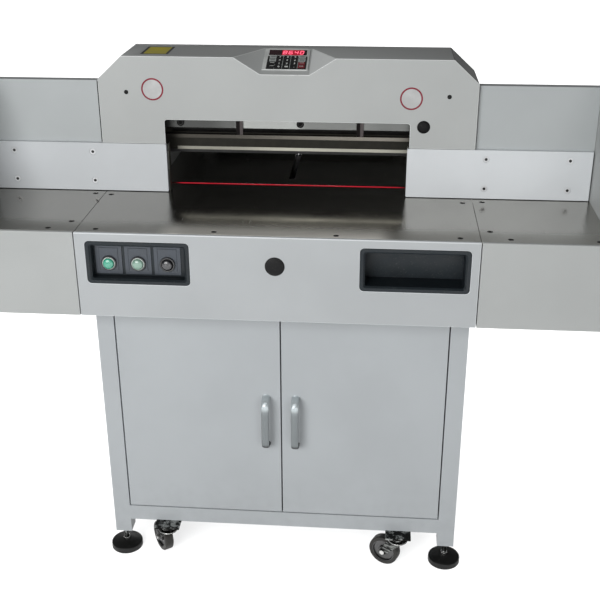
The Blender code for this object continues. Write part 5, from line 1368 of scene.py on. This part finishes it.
def buttonHead():
    radius, high, foot = buttonHeads["radius"], buttonHeads["high"], buttonHeads["foot"]
    angles = [step * math.pi / 12 for step in range(6)]
    dome = [(radius * math.cos(angle), high * math.sin(angle)) for angle in angles]
    return socketHead("button", [(0, -foot), (radius, -foot), *dome, (0, high)], "bright", 28,
                      buttonHeads["socket"], high - buttonHeads["deep"])


def fitHeads(name, places, turn):
    heads = [twin(headModel, f"{name}{number}", Matrix.Translation(place) @ turn)
             for number, place in enumerate(places)]
    carry(joined(name, heads), "root", "bright_steel")


headModel = buttonHead()
across, inset = buttonHeads["shell"]
low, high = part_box("base_shell")
places = [(x, high.y, z) for x in across for z in (low.z + inset, high.z - inset)]
fitHeads("baseShellScrews", places, turns["Y"])
starts, stop, rise = buttonHeads["guard"]
low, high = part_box("rear_guard")
depths = [low.y + start for start in starts] + [high.y - stop]
fitHeads("guardScrewsLeft", [(low.x, y, up(rise)) for y in depths], faceLeft)
fitHeads("guardScrewsRight", [(high.x, y, up(rise)) for y in depths], turns["X"])
across, rises = buttonHeads["head"]
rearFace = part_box("head_cover")[1].y
fitHeads("headRearScrews", [(x, rearFace, up(z)) for x in across for z in rises], turns["Y"])
for model in (headModel, screwModel, darkScrewModel):
    bpy.data.objects.remove(model)
print("rear side: done")

# Floor and lights
studio = {
    "floor": 40.0,
    "floorTone": tone(243, 243, 243),
    "world": 0.16,
    "sun": {"energy": 4.2, "angle": math.radians(100)},
    "key light": {"spot": (-1.3, -3.7, 1.95), "size": 2.2, "power": 97, "aim": (0.0, -0.2, 0.85)},
    "fill light": {"spot": (1.4, -4.0, 0.9), "size": 2.4, "power": 28, "aim": (0.0, -0.2, 0.8)},
    "rear light": {"spot": (-0.9, 4.2, 0.45), "size": 1.3, "power": 60, "aim": (0.0, 0.3, 0.8)},
    "handle light": {"spot": (-0.25, -1.9, 2.6), "size": 1.6, "power": 14, "aim": (0.0, -0.42, 0.45)},
}
bpy.ops.object.select_all(action="DESELECT")
bpy.ops.mesh.primitive_circle_add(vertices=96, radius=studio["floor"], fill_type="NGON", location=(0, 0, 0))
floor = bpy.context.object
floor.name = "studioFloor"
floorFinish = Finish("pale floor")
speck = floorFinish.noise(3.0, 3.0)
floorFinish.feed(Base_Color=floorFinish.blend(speck * 0.04, studio["floorTone"], tone(236, 236, 236)),
                 Roughness=floorFinish.span(speck, 0, 1, 0.75, 0.85))
floor.data.materials.append(floorFinish.material)
floor.visible_diffuse = False    # the white floor doesn't light the machine from below


def lamp(name, kind, **settings):
    data = bpy.data.lights.new(name, kind)
    for setting, value in settings.items():
        setattr(data, setting, value)
    light = bpy.data.objects.new(name, data)
    bpy.context.scene.collection.objects.link(light)
    return light


def softLight(name):
    values = studio[name]
    light = lamp(name, "AREA", shape="SQUARE", size=values["size"], energy=values["power"])
    spot = Vector(values["spot"])
    turn = (Vector(values["aim"]) - spot).to_track_quat("-Z", "Y").to_matrix().to_4x4()
    light.matrix_world = Matrix.Translation(spot) @ turn
    return light


def onlyFor(light, name, pieces):    # a lamp that lights a few pieces alone
    group = bpy.data.collections.new(name)
    for piece in pieces:
        group.objects.link(piece)
    light.light_linking.receiver_collection = group
    light.light_linking.blocker_collection = group


for name in ("key light", "fill light", "rear light"):
    softLight(name)
onlyFor(softLight("handle light"), "handles only", handlePieces)
onlyFor(lamp("floor sun", "SUN", **studio["sun"]), "floor only", [floor])    # even, from straight above

world = bpy.data.worlds.new("studio")
bpy.context.scene.world = world
world.use_nodes = True
sky = world.node_tree.nodes["Background"]
sky.inputs["Color"].default_value = (1.0, 1.0, 1.0, 1.0)
sky.inputs["Strength"].default_value = studio["world"]
bpy.context.scene.view_settings.view_transform = "Standard"
print("studio: done")
